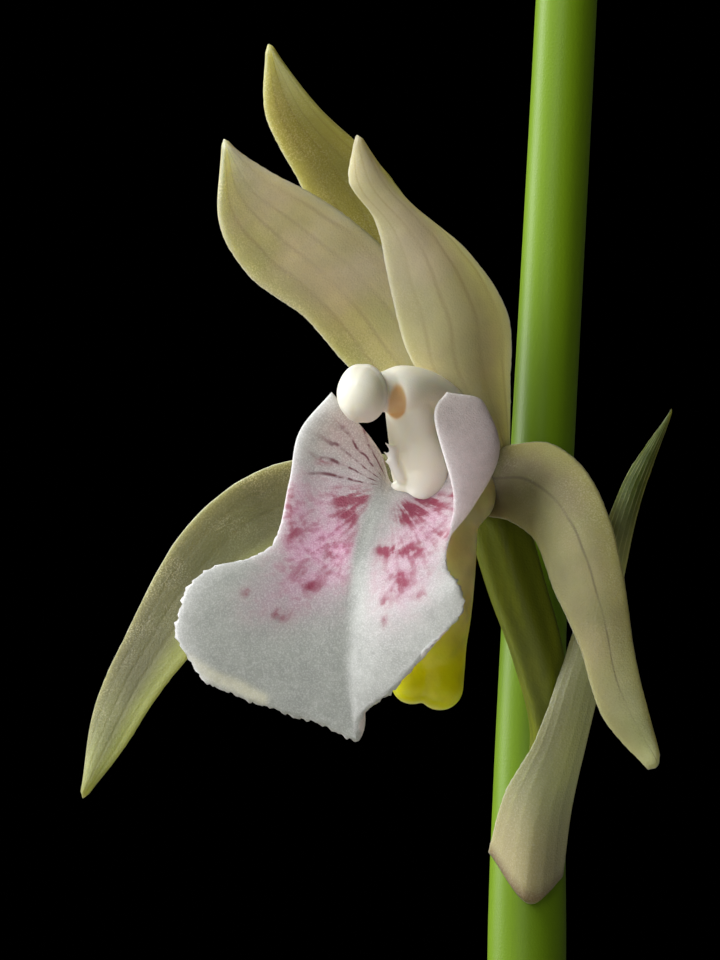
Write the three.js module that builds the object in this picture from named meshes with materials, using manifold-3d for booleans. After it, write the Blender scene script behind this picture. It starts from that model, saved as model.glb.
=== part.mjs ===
// Potted monk orchid: a small ground orchid in a plain clay pot. Millimetres, +Z up.
// The origin is the middle of the pot's flat foot, and the lowest flower faces a viewer who looks along +Y.
// Four pseudobulbs stand on a rhizome in the potting mix, each with one stiff leaf, and a slender stem
// rises beside the newest full-grown one, with five open flowers and four buds.
import * as THREE from "three";
import { mergeVertices } from "three/addons/utils/BufferGeometryUtils.js";
import Module from "manifold-3d";

const wasm = await Module();
wasm.setup();

// Driving dimensions
const GAP = 0.3; // clearance between neighbouring pieces
const BLADE = 0.6; // thickness of petals, sepals, lips and bracts
const LEAF_THICKNESS = 1.3;
const NARROW = 4; // a blade narrower than this many thicknesses is flat across
const DETAIL = 0.02; // smallest detail that is kept
const POT = {
  rimRadius: 60,
  footRadius: 42,
  height: 105,
  wall: 5,
  bandHeight: 21,
  bandStep: 3,
  drainRadius: 5,
  drainCircle: 24,
  drains: 3,
};
const MIX_TOP = 93; // height of the potting mix
const SEGMENTS = 32; // sides of the pot and of the mix in it
const CHIPS = { count: 7, length: 14, width: 9, height: 5, seed: 7 };
const RHIZOME = { radius: 3.6, height: 91 };
const ROOTS = { count: 6, radius: 1.7, tipRadius: 1.0, depth: 56, spread: 26 };

// The flower stem, as [x, y, z, radius]: upright below the lowest flower, leaning 3 degrees above it.
const SCAPE = [
  [12.5, -5.5, 88, 2.3],
  [14.7, -11, 95, 2.3],
  [16.6, -13.8, 108, 2.2],
  [17.2, -13.8, 130, 2.0],
  [17.6, -12.4, 180, 1.65],
  [18.5, -10.3, 235, 1.3],
  [19, -9.1, 270, 1.08],
  [19, -9, 285, 1.0],
  [19.35, -9, 292, 0.88],
  [20.1, -9, 308.3, 0.83],
  [22, -8.6, 345, 0.78],
  [23.8, -8, 385, 0.7],
  [25, -7.2, 420, 0.58],
  [25.6, -6.8, 446, 0.42],
];

// Where flowers and buds leave the stem: height of the node, turn about the stem in degrees, and size.
const BLOOM = { z: 285, turn: 0, size: 1 };
const OTHER_BLOOMS = [
  { z: 313.5, turn: 152, size: 0.97 },
  { z: 340, turn: -78, size: 0.94 },
  { z: 364, turn: 66, size: 0.9 },
  { z: 386, turn: 200, size: 0.85 },
];
const BUDS = [
  { z: 404, turn: -40, size: 0.9 },
  { z: 418, turn: 110, size: 0.74 },
  { z: 430, turn: 245, size: 0.58 },
  { z: 439, turn: 20, size: 0.45 },
];
const SHEATHS = [
  { z: 124, turn: 150, length: 26, radius: 2.72 },
  { z: 178, turn: -40, length: 22, radius: 2.3 },
  { z: 232, turn: 120, length: 19, radius: 1.95 },
];

// Each growth: where it stands on the rhizome, the pseudobulb's size, and its leaf.
const GROWTHS = [
  {
    at: [-28, 15],
    height: 25,
    radius: 7.6,
    leaf: { azimuth: 128, length: 146, width: 37, rise: 66, droop: 4 },
  },
  {
    at: [-11.5, 7.5],
    height: 30,
    radius: 8.8,
    leaf: { azimuth: 196, length: 178, width: 43, rise: 70, droop: 14 },
  },
  {
    at: [6.5, -2],
    height: 33,
    radius: 9.2,
    leaf: { azimuth: 42, length: 170, width: 45, rise: 68, droop: 8 },
  },
  {
    at: [25, -4.5],
    height: 19,
    radius: 5.8,
    leaf: { azimuth: -20, length: 96, width: 25, rise: 74, droop: 30 },
  },
];

// The flower, about the point where its stalk leaves the stem. A limb is a row of [x, y, z, radius] stations.
// A rail is a row of [x, y, z] points from base to tip, and a blade is the smooth surface through its rails.
const RECEPTACLE = [-0.9, -3.2, 10.5, 0.85];
const OVARY = [
  [0.1, -1.35, 0.5, 0.46],
  [0.5, -1.85, 2.2, 0.5],
  [0.75, -2.35, 4.0, 0.56],
  [0.38, -2.9, 6.0, 0.68],
  [-0.25, -3.2, 8.0, 0.78],
  [-0.75, -3.25, 9.8, 0.82],
  RECEPTACLE,
];
const TEPALS = {
  dorsal_sepal: [
    [
      [-1.25, -2.3, 11.2], [-2.35, -2.1, 13.2], [-3.8, -2.6, 15.3],
      [-5.2, -3.3, 17.4], [-6.3, -4.1, 19.7], [-6.88, -4.7, 21.75],
    ],
    [
      [-0.9, -2.0, 11.2], [-1.7, -1.6, 13.4], [-3.0, -2.1, 15.7],
      [-4.5, -2.9, 18.0], [-5.9, -3.8, 20.0], [-6.8, -4.6, 21.9],
    ],
    [
      [-0.6, -2.3, 11.2], [-1.1, -2.1, 13.4], [-2.15, -2.6, 15.8],
      [-3.8, -3.3, 18.3], [-5.55, -4.1, 20.3], [-6.65, -4.7, 21.8],
    ],
  ],
  petal_left: [
    [
      [-2.1, -3.0, 11.3], [-4.4, -3.6, 13.7], [-5.7, -4.25, 15.0],
      [-7.1, -4.8, 16.1], [-7.75, -5.2, 17.5], [-7.9, -5.5, 19.3],
    ],
    [
      [-2.0, -2.75, 11.5], [-3.6, -3.1, 14.2], [-4.85, -3.75, 15.8],
      [-6.3, -4.3, 17.0], [-7.3, -4.9, 18.2], [-7.85, -5.4, 19.5],
    ],
    [
      [-1.8, -2.65, 11.8], [-2.5, -3.3, 14.8], [-3.7, -4.0, 16.7],
      [-5.4, -4.6, 17.9], [-6.9, -5.1, 18.7], [-7.7, -5.5, 19.4],
    ],
  ],
  petal_right: [
    [
      [-1.0, -3.95, 11.4], [-2.26, -4.9, 13.6], [-3.25, -5.7, 15.0],
      [-3.8, -6.4, 16.8], [-4.4, -7.0, 18.2], [-4.75, -7.3, 19.4],
    ],
    [
      [-0.65, -3.95, 11.4], [-1.2, -4.7, 13.5], [-1.8, -5.5, 15.1],
      [-2.8, -6.4, 16.9], [-3.95, -7.1, 18.3], [-4.65, -7.4, 19.6],
    ],
    [
      [-0.4, -3.7, 11.4], [-0.55, -3.6, 13.4], [-0.75, -4.2, 15.0],
      [-2.05, -5.4, 16.7], [-3.45, -6.6, 18.1], [-4.45, -7.2, 19.45],
    ],
  ],
  lateral_sepal_left: [
    [
      [-1.9, -2.7, 10.9], [-3.3, -2.2, 11.3], [-5.2, -2.0, 11.4], [-7.25, -2.2, 10.75],
      [-8.95, -2.6, 9.4], [-10.5, -3.2, 6.45], [-11.65, -3.8, 2.65],
    ],
    [
      [-1.8, -2.3, 10.4], [-3.3, -1.9, 10.3], [-5.1, -1.8, 10.15], [-7.0, -2.2, 9.4],
      [-8.65, -2.8, 8.1], [-10.2, -3.4, 5.4], [-11.55, -4.0, 2.4],
    ],
    [
      [-1.8, -2.6, 9.9], [-3.3, -2.7, 9.35], [-5.05, -2.8, 8.85], [-6.8, -3.1, 8.0],
      [-8.45, -3.6, 6.75], [-10.05, -3.9, 4.5], [-11.4, -4.0, 2.55],
    ],
  ],
  lateral_sepal_right: [
    [
      [-0.2, -3.8, 11.0], [0.5, -4.4, 11.45], [1.5, -5.4, 11.0], [2.12, -6.2, 9.6],
      [2.45, -6.9, 7.8], [2.82, -7.4, 5.2], [3.42, -7.7, 3.1],
    ],
    [
      [-0.1, -4.1, 10.5], [0.3, -5.0, 10.5], [1.2, -6.0, 10.0], [1.7, -6.9, 8.5],
      [2.03, -7.5, 6.7], [2.62, -7.9, 4.6], [3.38, -7.85, 2.95],
    ],
    [
      [-0.3, -4.0, 9.9], [-0.1, -4.7, 9.5], [0.6, -5.6, 8.45], [1.2, -6.6, 7.1],
      [1.75, -7.3, 5.65], [2.46, -7.7, 4.0], [3.24, -7.8, 3.05],
    ],
  ],
};
// The lip's rails run from its left margin, over the left side lobe and the midline, to its right margin.
const LIP = [
  [
    [-5.16, -5.9, 12.95], [-5.95, -6.3, 11.85], [-6.3, -6.6, 10.26], [-6.8, -7.0, 8.7],
    [-8.6, -7.0, 8.15], [-9.1, -7.2, 6.6], [-8.45, -7.5, 5.4],
  ],
  [
    [-4.6, -5.6, 12.1], [-5.16, -6.0, 11.1], [-5.4, -6.5, 10.0], [-5.95, -7.2, 8.66],
    [-7.26, -7.4, 7.75], [-7.66, -7.7, 6.15], [-7.35, -7.9, 5.0],
  ],
  [
    [-3.9, -5.6, 11.2], [-4.3, -6.1, 10.65], [-4.5, -6.7, 9.7], [-5.0, -7.5, 8.55],
    [-5.8, -7.9, 7.4], [-6.1, -8.2, 5.8], [-5.9, -8.4, 4.45],
  ],
  [
    [-2.6, -6.0, 10.2], [-3.0, -6.5, 10.2], [-3.6, -7.1, 9.7], [-4.24, -7.8, 8.6],
    [-4.55, -8.3, 7.4], [-4.63, -8.6, 5.8], [-4.5, -8.7, 3.85],
  ],
  [
    [-1.5, -5.5, 10.4], [-1.7, -6.4, 10.1], [-2.66, -7.5, 9.7], [-3.45, -8.3, 8.6],
    [-3.45, -8.9, 7.5], [-3.6, -9.0, 6.2], [-4.0, -8.9, 4.8],
  ],
  [
    [-0.85, -5.7, 11.9], [-0.95, -6.7, 10.9], [-1.6, -7.7, 9.7], [-2.7, -8.8, 8.55],
    [-2.5, -9.6, 7.75], [-2.66, -9.6, 6.66], [-3.2, -9.3, 5.5],
  ],
  [
    [-1.8, -6.9, 12.95], [-2.26, -7.6, 12.2], [-1.8, -8.4, 10.4], [-2.0, -9.2, 8.65],
    [-1.63, -10.1, 7.7], [-1.8, -10.1, 6.85], [-2.26, -9.8, 6.4],
  ],
];
// The lip's claw runs from the head of the ovary to the mouth of the spur.
const CLAW = [[-1.35, -4.25, 10.3, 0.7], [-1.95, -5.3, 9.9, 0.85]];
const SPUR = [
  [-1.95, -5.3, 9.9, 0.85],
  [-2.08, -5.35, 9.1, 0.78],
  [-2.24, -5.4, 7.5, 0.78],
  [-2.55, -5.5, 6.3, 0.93],
  [-2.7, -5.6, 5.5, 0.95],
];
const COLUMN_BACK = [
  [-1.65, -4.2, 11.2, 0.55],
  [-1.95, -4.7, 12.2, 0.6],
  [-2.6, -5.3, 12.85, 0.68],
  [-3.3, -6.0, 12.95, 0.6],
];
const COLUMN_FACE = [
  [-2.5, -5.3, 11.0, 0.72],
  [-2.7, -5.4, 11.8, 0.68],
  [-2.85, -5.6, 12.7, 0.74],
];
const COLUMN_FOOT = [
  [-1.85, -5.0, 9.9, 0.85],
  [-2.45, -5.6, 10.5, 0.85],
  [-2.65, -5.5, 11.6, 0.72],
  [-2.9, -5.6, 12.7, 0.7],
];
const ANTHER_CAP = [
  [-3.95, -6.65, 12.9, 0.66],
  [-4.2, -6.85, 12.88, 0.74],
  [-4.4, -7.0, 12.86, 0.68],
];
const BRACT = [
  [
    [-0.95, -1.3, 0.5], [-0.45, -2.35, 2.4], [0.3, -3.3, 4.1], [1.05, -3.5, 6.05],
    [1.75, -3.6, 8.3], [2.55, -3.7, 10.5], [3.72, -3.8, 12.3],
  ],
  [
    [0.1, -1.85, -0.45], [0.5, -2.95, 2.0], [1.1, -3.7, 4.2], [1.7, -3.85, 6.3],
    [2.2, -3.8, 8.3], [2.85, -3.8, 10.4], [3.8, -3.8, 12.38],
  ],
  [
    [0.95, -1.3, 0.2], [1.3, -2.1, 2.2], [1.8, -2.8, 4.3], [2.2, -3.2, 6.4],
    [2.6, -3.4, 8.3], [3.1, -3.6, 10.4], [3.88, -3.8, 12.3],
  ],
];
const BUD = [
  [0, -1.4, 0.6, 0.42],
  [0.1, -2.2, 2.6, 0.46],
  [0.1, -2.8, 4.6, 0.6],
  [0.1, -3.3, 6.6, 1.25],
  [0.05, -4.0, 8.6, 1.3],
  [0, -4.5, 10.4, 0.55],
];
const BUD_BRACT = [
  [
    [-1.1, -1.2, 0.2], [-0.9, -2.4, 2.0],
    [-0.6, -3.2, 4.0], [-0.3, -4.0, 6.0],
  ],
  [
    [0, -1.7, -0.3], [0, -3.2, 2.0],
    [0.1, -4.0, 4.0], [0, -4.6, 6.2],
  ],
  [
    [1.1, -1.2, 0.2], [1.0, -2.4, 2.0],
    [0.7, -3.2, 4.0], [0.3, -4.0, 6.0],
  ],
];
// The knob in a bract's axil, where the bract and the flower's stalk grow from the stem together.
const AXIL = [[0.1, -1.3, 0, 0.5], [0.2, -2.0, 0.9, 0.62]];
// The knob at the head of the ovary, where a flower's green parts meet.
const HUB = [[-0.7, -3.2, 10.2, 0.85], [-1.0, -3.2, 10.9, 0.95]];

const finish = (color, roughness) => new THREE.MeshStandardMaterial({ color, roughness, metalness: 0 });
const FINISHES = {
  clay: finish(0xb5694a, 0.85),
  mix: finish(0x4a3626, 0.95),
  root: finish(0xc9c2a8, 0.7),
  bulb: finish(0x7d9148, 0.45),
  leaf: finish(0x3f6b35, 0.4),
  stem: finish(0x6f9a2e, 0.4),
  sheath: finish(0x8a8a4e, 0.6),
  bract: finish(0x9ca56a, 0.55),
  tepal: finish(0xaaa676, 0.5),
  lip: finish(0xe6dfe0, 0.5),
  column: finish(0xe9dfca, 0.4),
};

// Solids

/** Turns a closed geometry into a solid with its faces pointing out. */
function toSolid(geometry) {
  const bare = geometry.clone();
  bare.deleteAttribute("normal");
  bare.deleteAttribute("uv");
  const merged = mergeVertices(bare, 1e-4);
  const faces = [];
  const ids = merged.index.array;
  for (let i = 0; i < ids.length; i += 3) {
    const [a, b, c] = ids.slice(i, i + 3);
    if (a !== b && b !== c && c !== a) faces.push(a, b, c);
  }
  const make = (triVerts) =>
    new wasm.Manifold(
      new wasm.Mesh({
        numProp: 3,
        vertProperties: new Float32Array(merged.attributes.position.array),
        triVerts: new Uint32Array(triVerts),
      }),
    );
  const solid = make(faces);
  return solid.volume() > 0 ? solid : make(faces.reverse());
}

/** Turns a solid back into a geometry. */
function toGeometry(solid) {
  const { vertProperties, triVerts } = solid.getMesh();
  const geometry = new THREE.BufferGeometry();
  geometry.setAttribute("position", new THREE.BufferAttribute(vertProperties, 3));
  geometry.setIndex(new THREE.BufferAttribute(triVerts, 1));
  geometry.computeVertexNormals();
  return geometry;
}

/** Joins solids that run into each other. */
const fuse = (first, ...rest) => rest.reduce((all, one) => all.add(one), first);

/** Takes the cutters out of a solid and keeps its largest piece. */
function clear(solid, ...cutters) {
  const cut = cutters.reduce((left, cutter) => left.subtract(cutter), solid);
  return cut.decompose().reduce((best, one) => (one.volume() > best.volume() ? one : best));
}

/** A named mesh of a solid's largest piece, without its smallest detail. */
function piece(name, solid, material) {
  const mesh = new THREE.Mesh(toGeometry(clear(solid.simplify(DETAIL))), material);
  mesh.name = name;
  return mesh;
}

/** A geometry from points and faces of point numbers. */
function geometryOf(points, faces) {
  const geometry = new THREE.BufferGeometry();
  geometry.setAttribute("position", new THREE.Float32BufferAttribute(points.flatMap((p) => p.toArray()), 3));
  geometry.setIndex(faces);
  return geometry;
}

/** A smooth limb of round section through its stations, with domed ends, made fatter by grow. */
function limb(stations, sides, steps, { grow = 0, ribs = 0, ribDepth = 0, domeRings = 2 } = {}) {
  const path = new THREE.CatmullRomCurve3(stations.map(([x, y, z]) => new THREE.Vector3(x, y, z)));
  const radii = new THREE.SplineCurve(stations.map((s, i) => new THREE.Vector2(i, s[3])));
  const rings = [];
  const dome = domeRings === 2 ? [Math.PI / 3, Math.PI / 6] : [Math.PI / 4];
  const ring = (t, angle, sign) => {
    const along = path.getTangent(t);
    const radius = radii.getPoint(t).y + grow;
    const centre = path.getPoint(t).addScaledVector(along, sign * radius * Math.sin(angle));
    rings.push({ centre, along, radius: radius * Math.cos(angle) });
  };
  dome.forEach((angle) => ring(0, angle, -1));
  for (let i = 0; i <= steps; i++) ring(i / steps, 0, 0);
  [...dome].reverse().forEach((angle) => ring(1, angle, 1));
  const poles = [
    path.getPoint(0).addScaledVector(path.getTangent(0), -(stations[0][3] + grow)),
    path.getPoint(1).addScaledVector(path.getTangent(1), stations.at(-1)[3] + grow),
  ];
  const points = [];
  let across = new THREE.Vector3(1, 0, 0);
  for (const { centre, along, radius } of rings) {
    across = across.addScaledVector(along, -across.dot(along)).normalize();
    const other = new THREE.Vector3().crossVectors(along, across);
    for (let i = 0; i < sides; i++) {
      const angle = (2 * Math.PI * i) / sides;
      const reach = radius * (1 + ribDepth * Math.cos(ribs * angle));
      points.push(
        centre
          .clone()
          .addScaledVector(across, reach * Math.cos(angle))
          .addScaledVector(other, reach * Math.sin(angle)),
      );
    }
  }
  const faces = [];
  for (let j = 0; j + 1 < rings.length; j++)
    for (let i = 0; i < sides; i++) {
      const [a, b] = [j * sides + i, j * sides + ((i + 1) % sides)];
      faces.push(a, b, b + sides, a, b + sides, a + sides);
    }
  const last = (rings.length - 1) * sides;
  points.push(...poles);
  for (let i = 0; i < sides; i++) {
    const next = (i + 1) % sides;
    faces.push(next, i, points.length - 2, last + i, last + next, points.length - 1);
  }
  return toSolid(geometryOf(points, faces));
}

/** A thin closed sheet about surface(u, v), with u across and v along, both from 0 to 1. */
function sheet(surface, acrossSteps, alongSteps, thickness) {
  const step = 0.01;
  const points = [];
  const clamp = (x) => Math.min(1, Math.max(0, x));
  const normalAt = (u, v) => {
    const across = surface(clamp(u + step), v).sub(surface(clamp(u - step), v));
    const along = surface(u, clamp(v + step)).sub(surface(u, clamp(v - step)));
    return across.cross(along).normalize();
  };
  for (const side of [0.5, -0.5])
    for (let j = 0; j <= alongSteps; j++) {
      const v = j / alongSteps;
      const width = surface(0, v).distanceTo(surface(1, v));
      const share = clamp(width / (NARROW * thickness));
      for (let i = 0; i <= acrossSteps; i++) {
        const u = i / acrossSteps;
        const normal = normalAt(0.5, v).lerp(normalAt(u, v), share).normalize();
        points.push(surface(u, v).addScaledVector(normal, side * thickness));
      }
    }
  const row = acrossSteps + 1;
  const back = row * (alongSteps + 1);
  const faces = [];
  for (let j = 0; j < alongSteps; j++)
    for (let i = 0; i < acrossSteps; i++) {
      const a = j * row + i;
      faces.push(a, a + 1, a + row + 1, a, a + row + 1, a + row);
      faces.push(back + a, back + a + row + 1, back + a + 1, back + a, back + a + row, back + a + row + 1);
    }
  const wall = (a, b) => faces.push(a, b + back, b, a, a + back, b + back);
  for (let i = 0; i < acrossSteps; i++) {
    wall(i, i + 1);
    wall(alongSteps * row + i + 1, alongSteps * row + i);
  }
  for (let j = 0; j < alongSteps; j++) {
    wall((j + 1) * row, j * row);
    wall(j * row + acrossSteps, (j + 1) * row + acrossSteps);
  }
  return toSolid(geometryOf(points, faces));
}

/** The smooth surface through rails that run from base to tip. */
function railSurface(rails) {
  const curves = rails.map((rail) => new THREE.CatmullRomCurve3(rail.map((p) => new THREE.Vector3(...p))));
  return (u, v) => new THREE.CatmullRomCurve3(curves.map((one) => one.getPoint(v))).getPoint(u);
}

const blade = (rails, across, along) => sheet(railSurface(rails), across, along, BLADE);

/** A solid turned about the axis, from a profile of [radius, height] points. */
function turned(profile, segments) {
  const lathe = new THREE.LatheGeometry(profile.map((p) => new THREE.Vector2(...p)), segments);
  return toSolid(lathe.rotateX(Math.PI / 2));
}

/** A repeatable stream of numbers from 0 to 1. */
function seeded(seed) {
  let state = seed;
  return () => {
    state = (state * 16807) % 2147483647;
    return state / 2147483647;
  };
}

// The pot and what it holds

/** Radius of the pot's inner wall at a height. */
const innerRadius = (z) => {
  const [low, high] = [POT.footRadius - POT.wall, POT.rimRadius - POT.bandStep - POT.wall];
  return low + ((high - low) * (z - POT.wall)) / (POT.height - POT.wall);
};

function makePot() {
  const { rimRadius, footRadius, height, wall, bandHeight, bandStep } = POT;
  const edge = 1.5;
  const shell = turned(
    [
      [0, 0],
      [footRadius - edge, 0],
      [footRadius, edge],
      [rimRadius - bandStep, height - bandHeight],
      [rimRadius - edge, height - bandHeight],
      [rimRadius, height - bandHeight + edge],
      [rimRadius, height - edge],
      [rimRadius - edge, height],
      [innerRadius(height) + edge, height],
      [innerRadius(height - edge), height - edge],
      [innerRadius(wall), wall],
      [0, wall],
    ],
    SEGMENTS,
  );
  const drains = Array.from({ length: POT.drains }, (_, i) => {
    const angle = (2 * Math.PI * (i + 0.5)) / POT.drains;
    const drill = new THREE.CylinderGeometry(POT.drainRadius, POT.drainRadius, 3 * wall, 9);
    drill.rotateX(Math.PI / 2);
    drill.translate(POT.drainCircle * Math.cos(angle), POT.drainCircle * Math.sin(angle), wall);
    return toSolid(drill);
  });
  return piece("pot", clear(shell, ...drains), FINISHES.clay);
}

/** Height of the potting mix's bumpy top at a place. */
const mixTop = (x, y) => {
  const swell = 0.9 * Math.sin(0.31 * x + 1.7) * Math.cos(0.27 * y);
  return MIX_TOP + swell + 0.5 * Math.sin(0.7 * (x + y));
};

/** The potting mix: a tapered plug with bark chips pressed into its top, bored for what grows in it. */
function makeMix(cutters) {
  const segments = SEGMENTS;
  const ringCount = 3;
  const radius = innerRadius(MIX_TOP) - GAP;
  const points = [new THREE.Vector3(0, 0, mixTop(0, 0))];
  const at = (r, i, z) => {
    const angle = (2 * Math.PI * i) / segments;
    const [x, y] = [r * Math.cos(angle), r * Math.sin(angle)];
    return new THREE.Vector3(x, y, z ?? mixTop(x, y));
  };
  for (let j = 1; j <= ringCount; j++) {
    const height = j === ringCount ? MIX_TOP : null;
    for (let i = 0; i < segments; i++) points.push(at((radius * j) / ringCount, i, height));
  }
  const floor = POT.wall + GAP;
  for (let i = 0; i < segments; i++) points.push(at(innerRadius(floor) - GAP, i, floor));
  points.push(new THREE.Vector3(0, 0, floor));
  const faces = [];
  for (let i = 0; i < segments; i++) {
    const next = (i + 1) % segments;
    faces.push(0, 1 + i, 1 + next);
    for (let j = 0; j < ringCount; j++) {
      const [a, b] = [1 + j * segments + i, 1 + j * segments + next];
      faces.push(a, a + segments, b + segments, a, b + segments, b);
    }
    const low = 1 + ringCount * segments;
    faces.push(low + i, points.length - 1, low + next);
  }
  const random = seeded(CHIPS.seed);
  const chips = Array.from({ length: CHIPS.count }, (_, i) => {
    const spread = Math.sqrt((i + 0.5) / CHIPS.count) * (radius - CHIPS.length * 0.75);
    const angle = i * 2.4 + random();
    const [x, y] = [spread * Math.cos(angle), spread * Math.sin(angle)];
    const size = 0.7 + 0.5 * random();
    const chip = new THREE.BoxGeometry(CHIPS.length * size, CHIPS.width * size, CHIPS.height * size);
    chip.rotateX(0.9 * (random() - 0.5)).rotateY(0.9 * (random() - 0.5)).rotateZ(Math.PI * random());
    return toSolid(chip.translate(x, y, mixTop(x, y) + 0.4));
  });
  const plug = fuse(toSolid(geometryOf(points, faces)), ...chips);
  return piece("potting_mix", clear(plug, ...cutters), FINISHES.mix);
}

// The growths

/** The rhizome under all growths, as a limb's stations. */
const rhizomeStations = () => {
  const first = GROWTHS[0].at;
  const ends = [[first[0] - 4, first[1] + 2], ...GROWTHS.map((g) => g.at)];
  return ends.map(([x, y]) => [x, y, RHIZOME.height, RHIZOME.radius]);
};

/** Roots that leave the rhizome on both sides and go down through the mix, as limbs' stations. */
const rootStations = () =>
  Array.from({ length: ROOTS.count }, (_, i) => {
    const growth = GROWTHS[i % GROWTHS.length].at;
    const start = new THREE.Vector2(...growth).multiplyScalar(0.96);
    const angle = (2 * Math.PI * (i * 5)) / ROOTS.count + 0.6;
    const out = (share) => [
      start.x + (ROOTS.spread * Math.cos(angle) - start.x) * share,
      start.y + (ROOTS.spread * Math.sin(angle) - start.y) * share,
    ];
    return [
      [...out(0), RHIZOME.height, ROOTS.radius],
      [...out(0.3), RHIZOME.height - ROOTS.depth * 0.25, ROOTS.radius],
      [...out(0.62), RHIZOME.height - ROOTS.depth * 0.6, ROOTS.radius * 0.9],
      [...out(0.8), RHIZOME.height - ROOTS.depth - 2 * i, ROOTS.tipRadius],
    ];
  });

const rhizomeSolid = (grow) =>
  fuse(
    limb(rhizomeStations(), 6, 7, { grow, domeRings: 1 }),
    ...rootStations().map((stations) => limb(stations, 5, 3, { grow, domeRings: 1 })),
  );

/** A pseudobulb's stations: an egg-shaped swelling that narrows to a neck. */
const bulbStations = ({ at: [x, y], height, radius }) => {
  const foot = RHIZOME.height + RHIZOME.radius;
  return [
    [x, y, foot, radius * 0.6],
    [x, y, foot + height * 0.28, radius],
    [x, y, foot + height * 0.58, radius * 0.82],
    [x, y, foot + height * 0.88, radius * 0.42],
    [x, y, foot + height, radius * 0.26],
  ];
};

const bulbSolid = (growth, grow) =>
  limb(bulbStations(growth), 12, 6, { grow, ribs: 6, ribDepth: 0.05, domeRings: 1 });

/** A leaf's surface: folded along its midrib at the base, opening to a broad blade that arches over. */
function leafSurface({ at: [x, y], height, leaf }) {
  const { azimuth, length, width, rise, droop } = leaf;
  const turn = THREE.MathUtils.degToRad(azimuth);
  const ahead = new THREE.Vector3(Math.cos(turn), Math.sin(turn), 0);
  const side = new THREE.Vector3(-ahead.y, ahead.x, 0);
  const steps = 40;
  const direction = (v) => {
    const lift = THREE.MathUtils.degToRad(rise + (droop - rise) * v ** 1.25);
    return ahead.clone().multiplyScalar(Math.cos(lift)).setZ(Math.sin(lift));
  };
  const midrib = [new THREE.Vector3(x, y, RHIZOME.height + RHIZOME.radius + height - 2)];
  for (let i = 0; i < steps; i++)
    midrib.push(midrib[i].clone().addScaledVector(direction((i + 0.5) / steps), length / steps));
  const spine = new THREE.CatmullRomCurve3(midrib);
  return (u, v) => {
    const across = 2 * u - 1;
    const stalk = 0.13 * (1 - v);
    const half = Math.max(0.5, (width / 2) * (stalk + (1 - stalk) * Math.sin(Math.PI * v ** 0.82) ** 0.95));
    const fold = THREE.MathUtils.degToRad(14 + 52 * Math.exp(-7 * v));
    const up = new THREE.Vector3().crossVectors(direction(v), side);
    const ripple = 0.1 * half * v * Math.sin(11 * v + azimuth) * across ** 2;
    return spine
      .getPoint(v)
      .addScaledVector(side, half * across * Math.cos(fold))
      .addScaledVector(up, half * Math.abs(across) ** 1.25 * Math.sin(fold) + ripple);
  };
}

// The flower stem

const scapePath = new THREE.CatmullRomCurve3(SCAPE.map(([x, y, z]) => new THREE.Vector3(x, y, z)));
const scapeSolid = (grow) => limb(SCAPE, 8, 2 * (SCAPE.length - 1), { grow, domeRings: 1 });

/** The point on the stem's middle at a height. */
function scapeAt(z) {
  let [low, high] = [0, 1];
  for (let i = 0; i < 30; i++) {
    const middle = (low + high) / 2;
    if (scapePath.getPoint(middle).z < z) low = middle;
    else high = middle;
  }
  return scapePath.getPoint(low);
}

/** The frame of a flower, bud or sheath on the stem: its group, and the stem as a cutter in that frame. */
function stemFrame({ z, turn, size = 1 }) {
  const group = new THREE.Group();
  group.position.copy(scapeAt(z));
  group.rotation.z = THREE.MathUtils.degToRad(turn);
  group.scale.setScalar(size);
  group.updateMatrix();
  return { group, stem: scapeSolid(GAP).transform(group.matrix.clone().invert().toArray()) };
}

/** A dry sheath that clasps the stem and ends in a point on one side. */
function makeSheath(spec, number) {
  const { group, stem } = stemFrame(spec);
  const surface = (u, v) => {
    const wrap = THREE.MathUtils.degToRad(148 * (1 - v ** 1.6) + 8);
    const angle = (2 * u - 1) * wrap;
    const reach = spec.radius + 0.9 * v;
    return new THREE.Vector3(reach * Math.cos(angle), reach * Math.sin(angle), spec.length * v);
  };
  group.add(piece(`sheath_${number}`, clear(sheet(surface, 7, 4, BLADE), stem), FINISHES.sheath));
  return group;
}

// The flowers

const ovary = (sides, steps, grow = 0) => limb(OVARY, sides, steps, { grow });
const column = (sides, steps, grow = 0) =>
  fuse(limb(COLUMN_BACK, sides, steps, { grow }), limb(COLUMN_FACE, sides, steps, { grow }));

/** The open flower nearest the viewer, in separate pieces. */
function makeBloom() {
  const { group, stem } = stemFrame(BLOOM);
  const ovaryCutter = ovary(8, 9, GAP);
  const columnCutter = column(8, 5, GAP);
  const wholeLip = fuse(blade(LIP, 12, 10), limb(CLAW, 8, 1), limb(SPUR, 8, 5));
  group.add(
    piece("ovary", clear(ovary(8, 9), stem), FINISHES.stem),
    piece("bract", clear(blade(BRACT, 4, 9), stem, ovaryCutter), FINISHES.bract),
    piece("column", clear(column(8, 5), ovaryCutter), FINISHES.column),
    piece("anther_cap", clear(limb(ANTHER_CAP, 10, 2), columnCutter), FINISHES.column),
    piece("lip", clear(wholeLip, ovaryCutter, columnCutter), FINISHES.lip),
  );
  for (const [name, rails] of Object.entries(TEPALS))
    group.add(piece(name, clear(blade(rails, 4, 10), ovaryCutter, columnCutter), FINISHES.tepal));
  return group;
}

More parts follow.
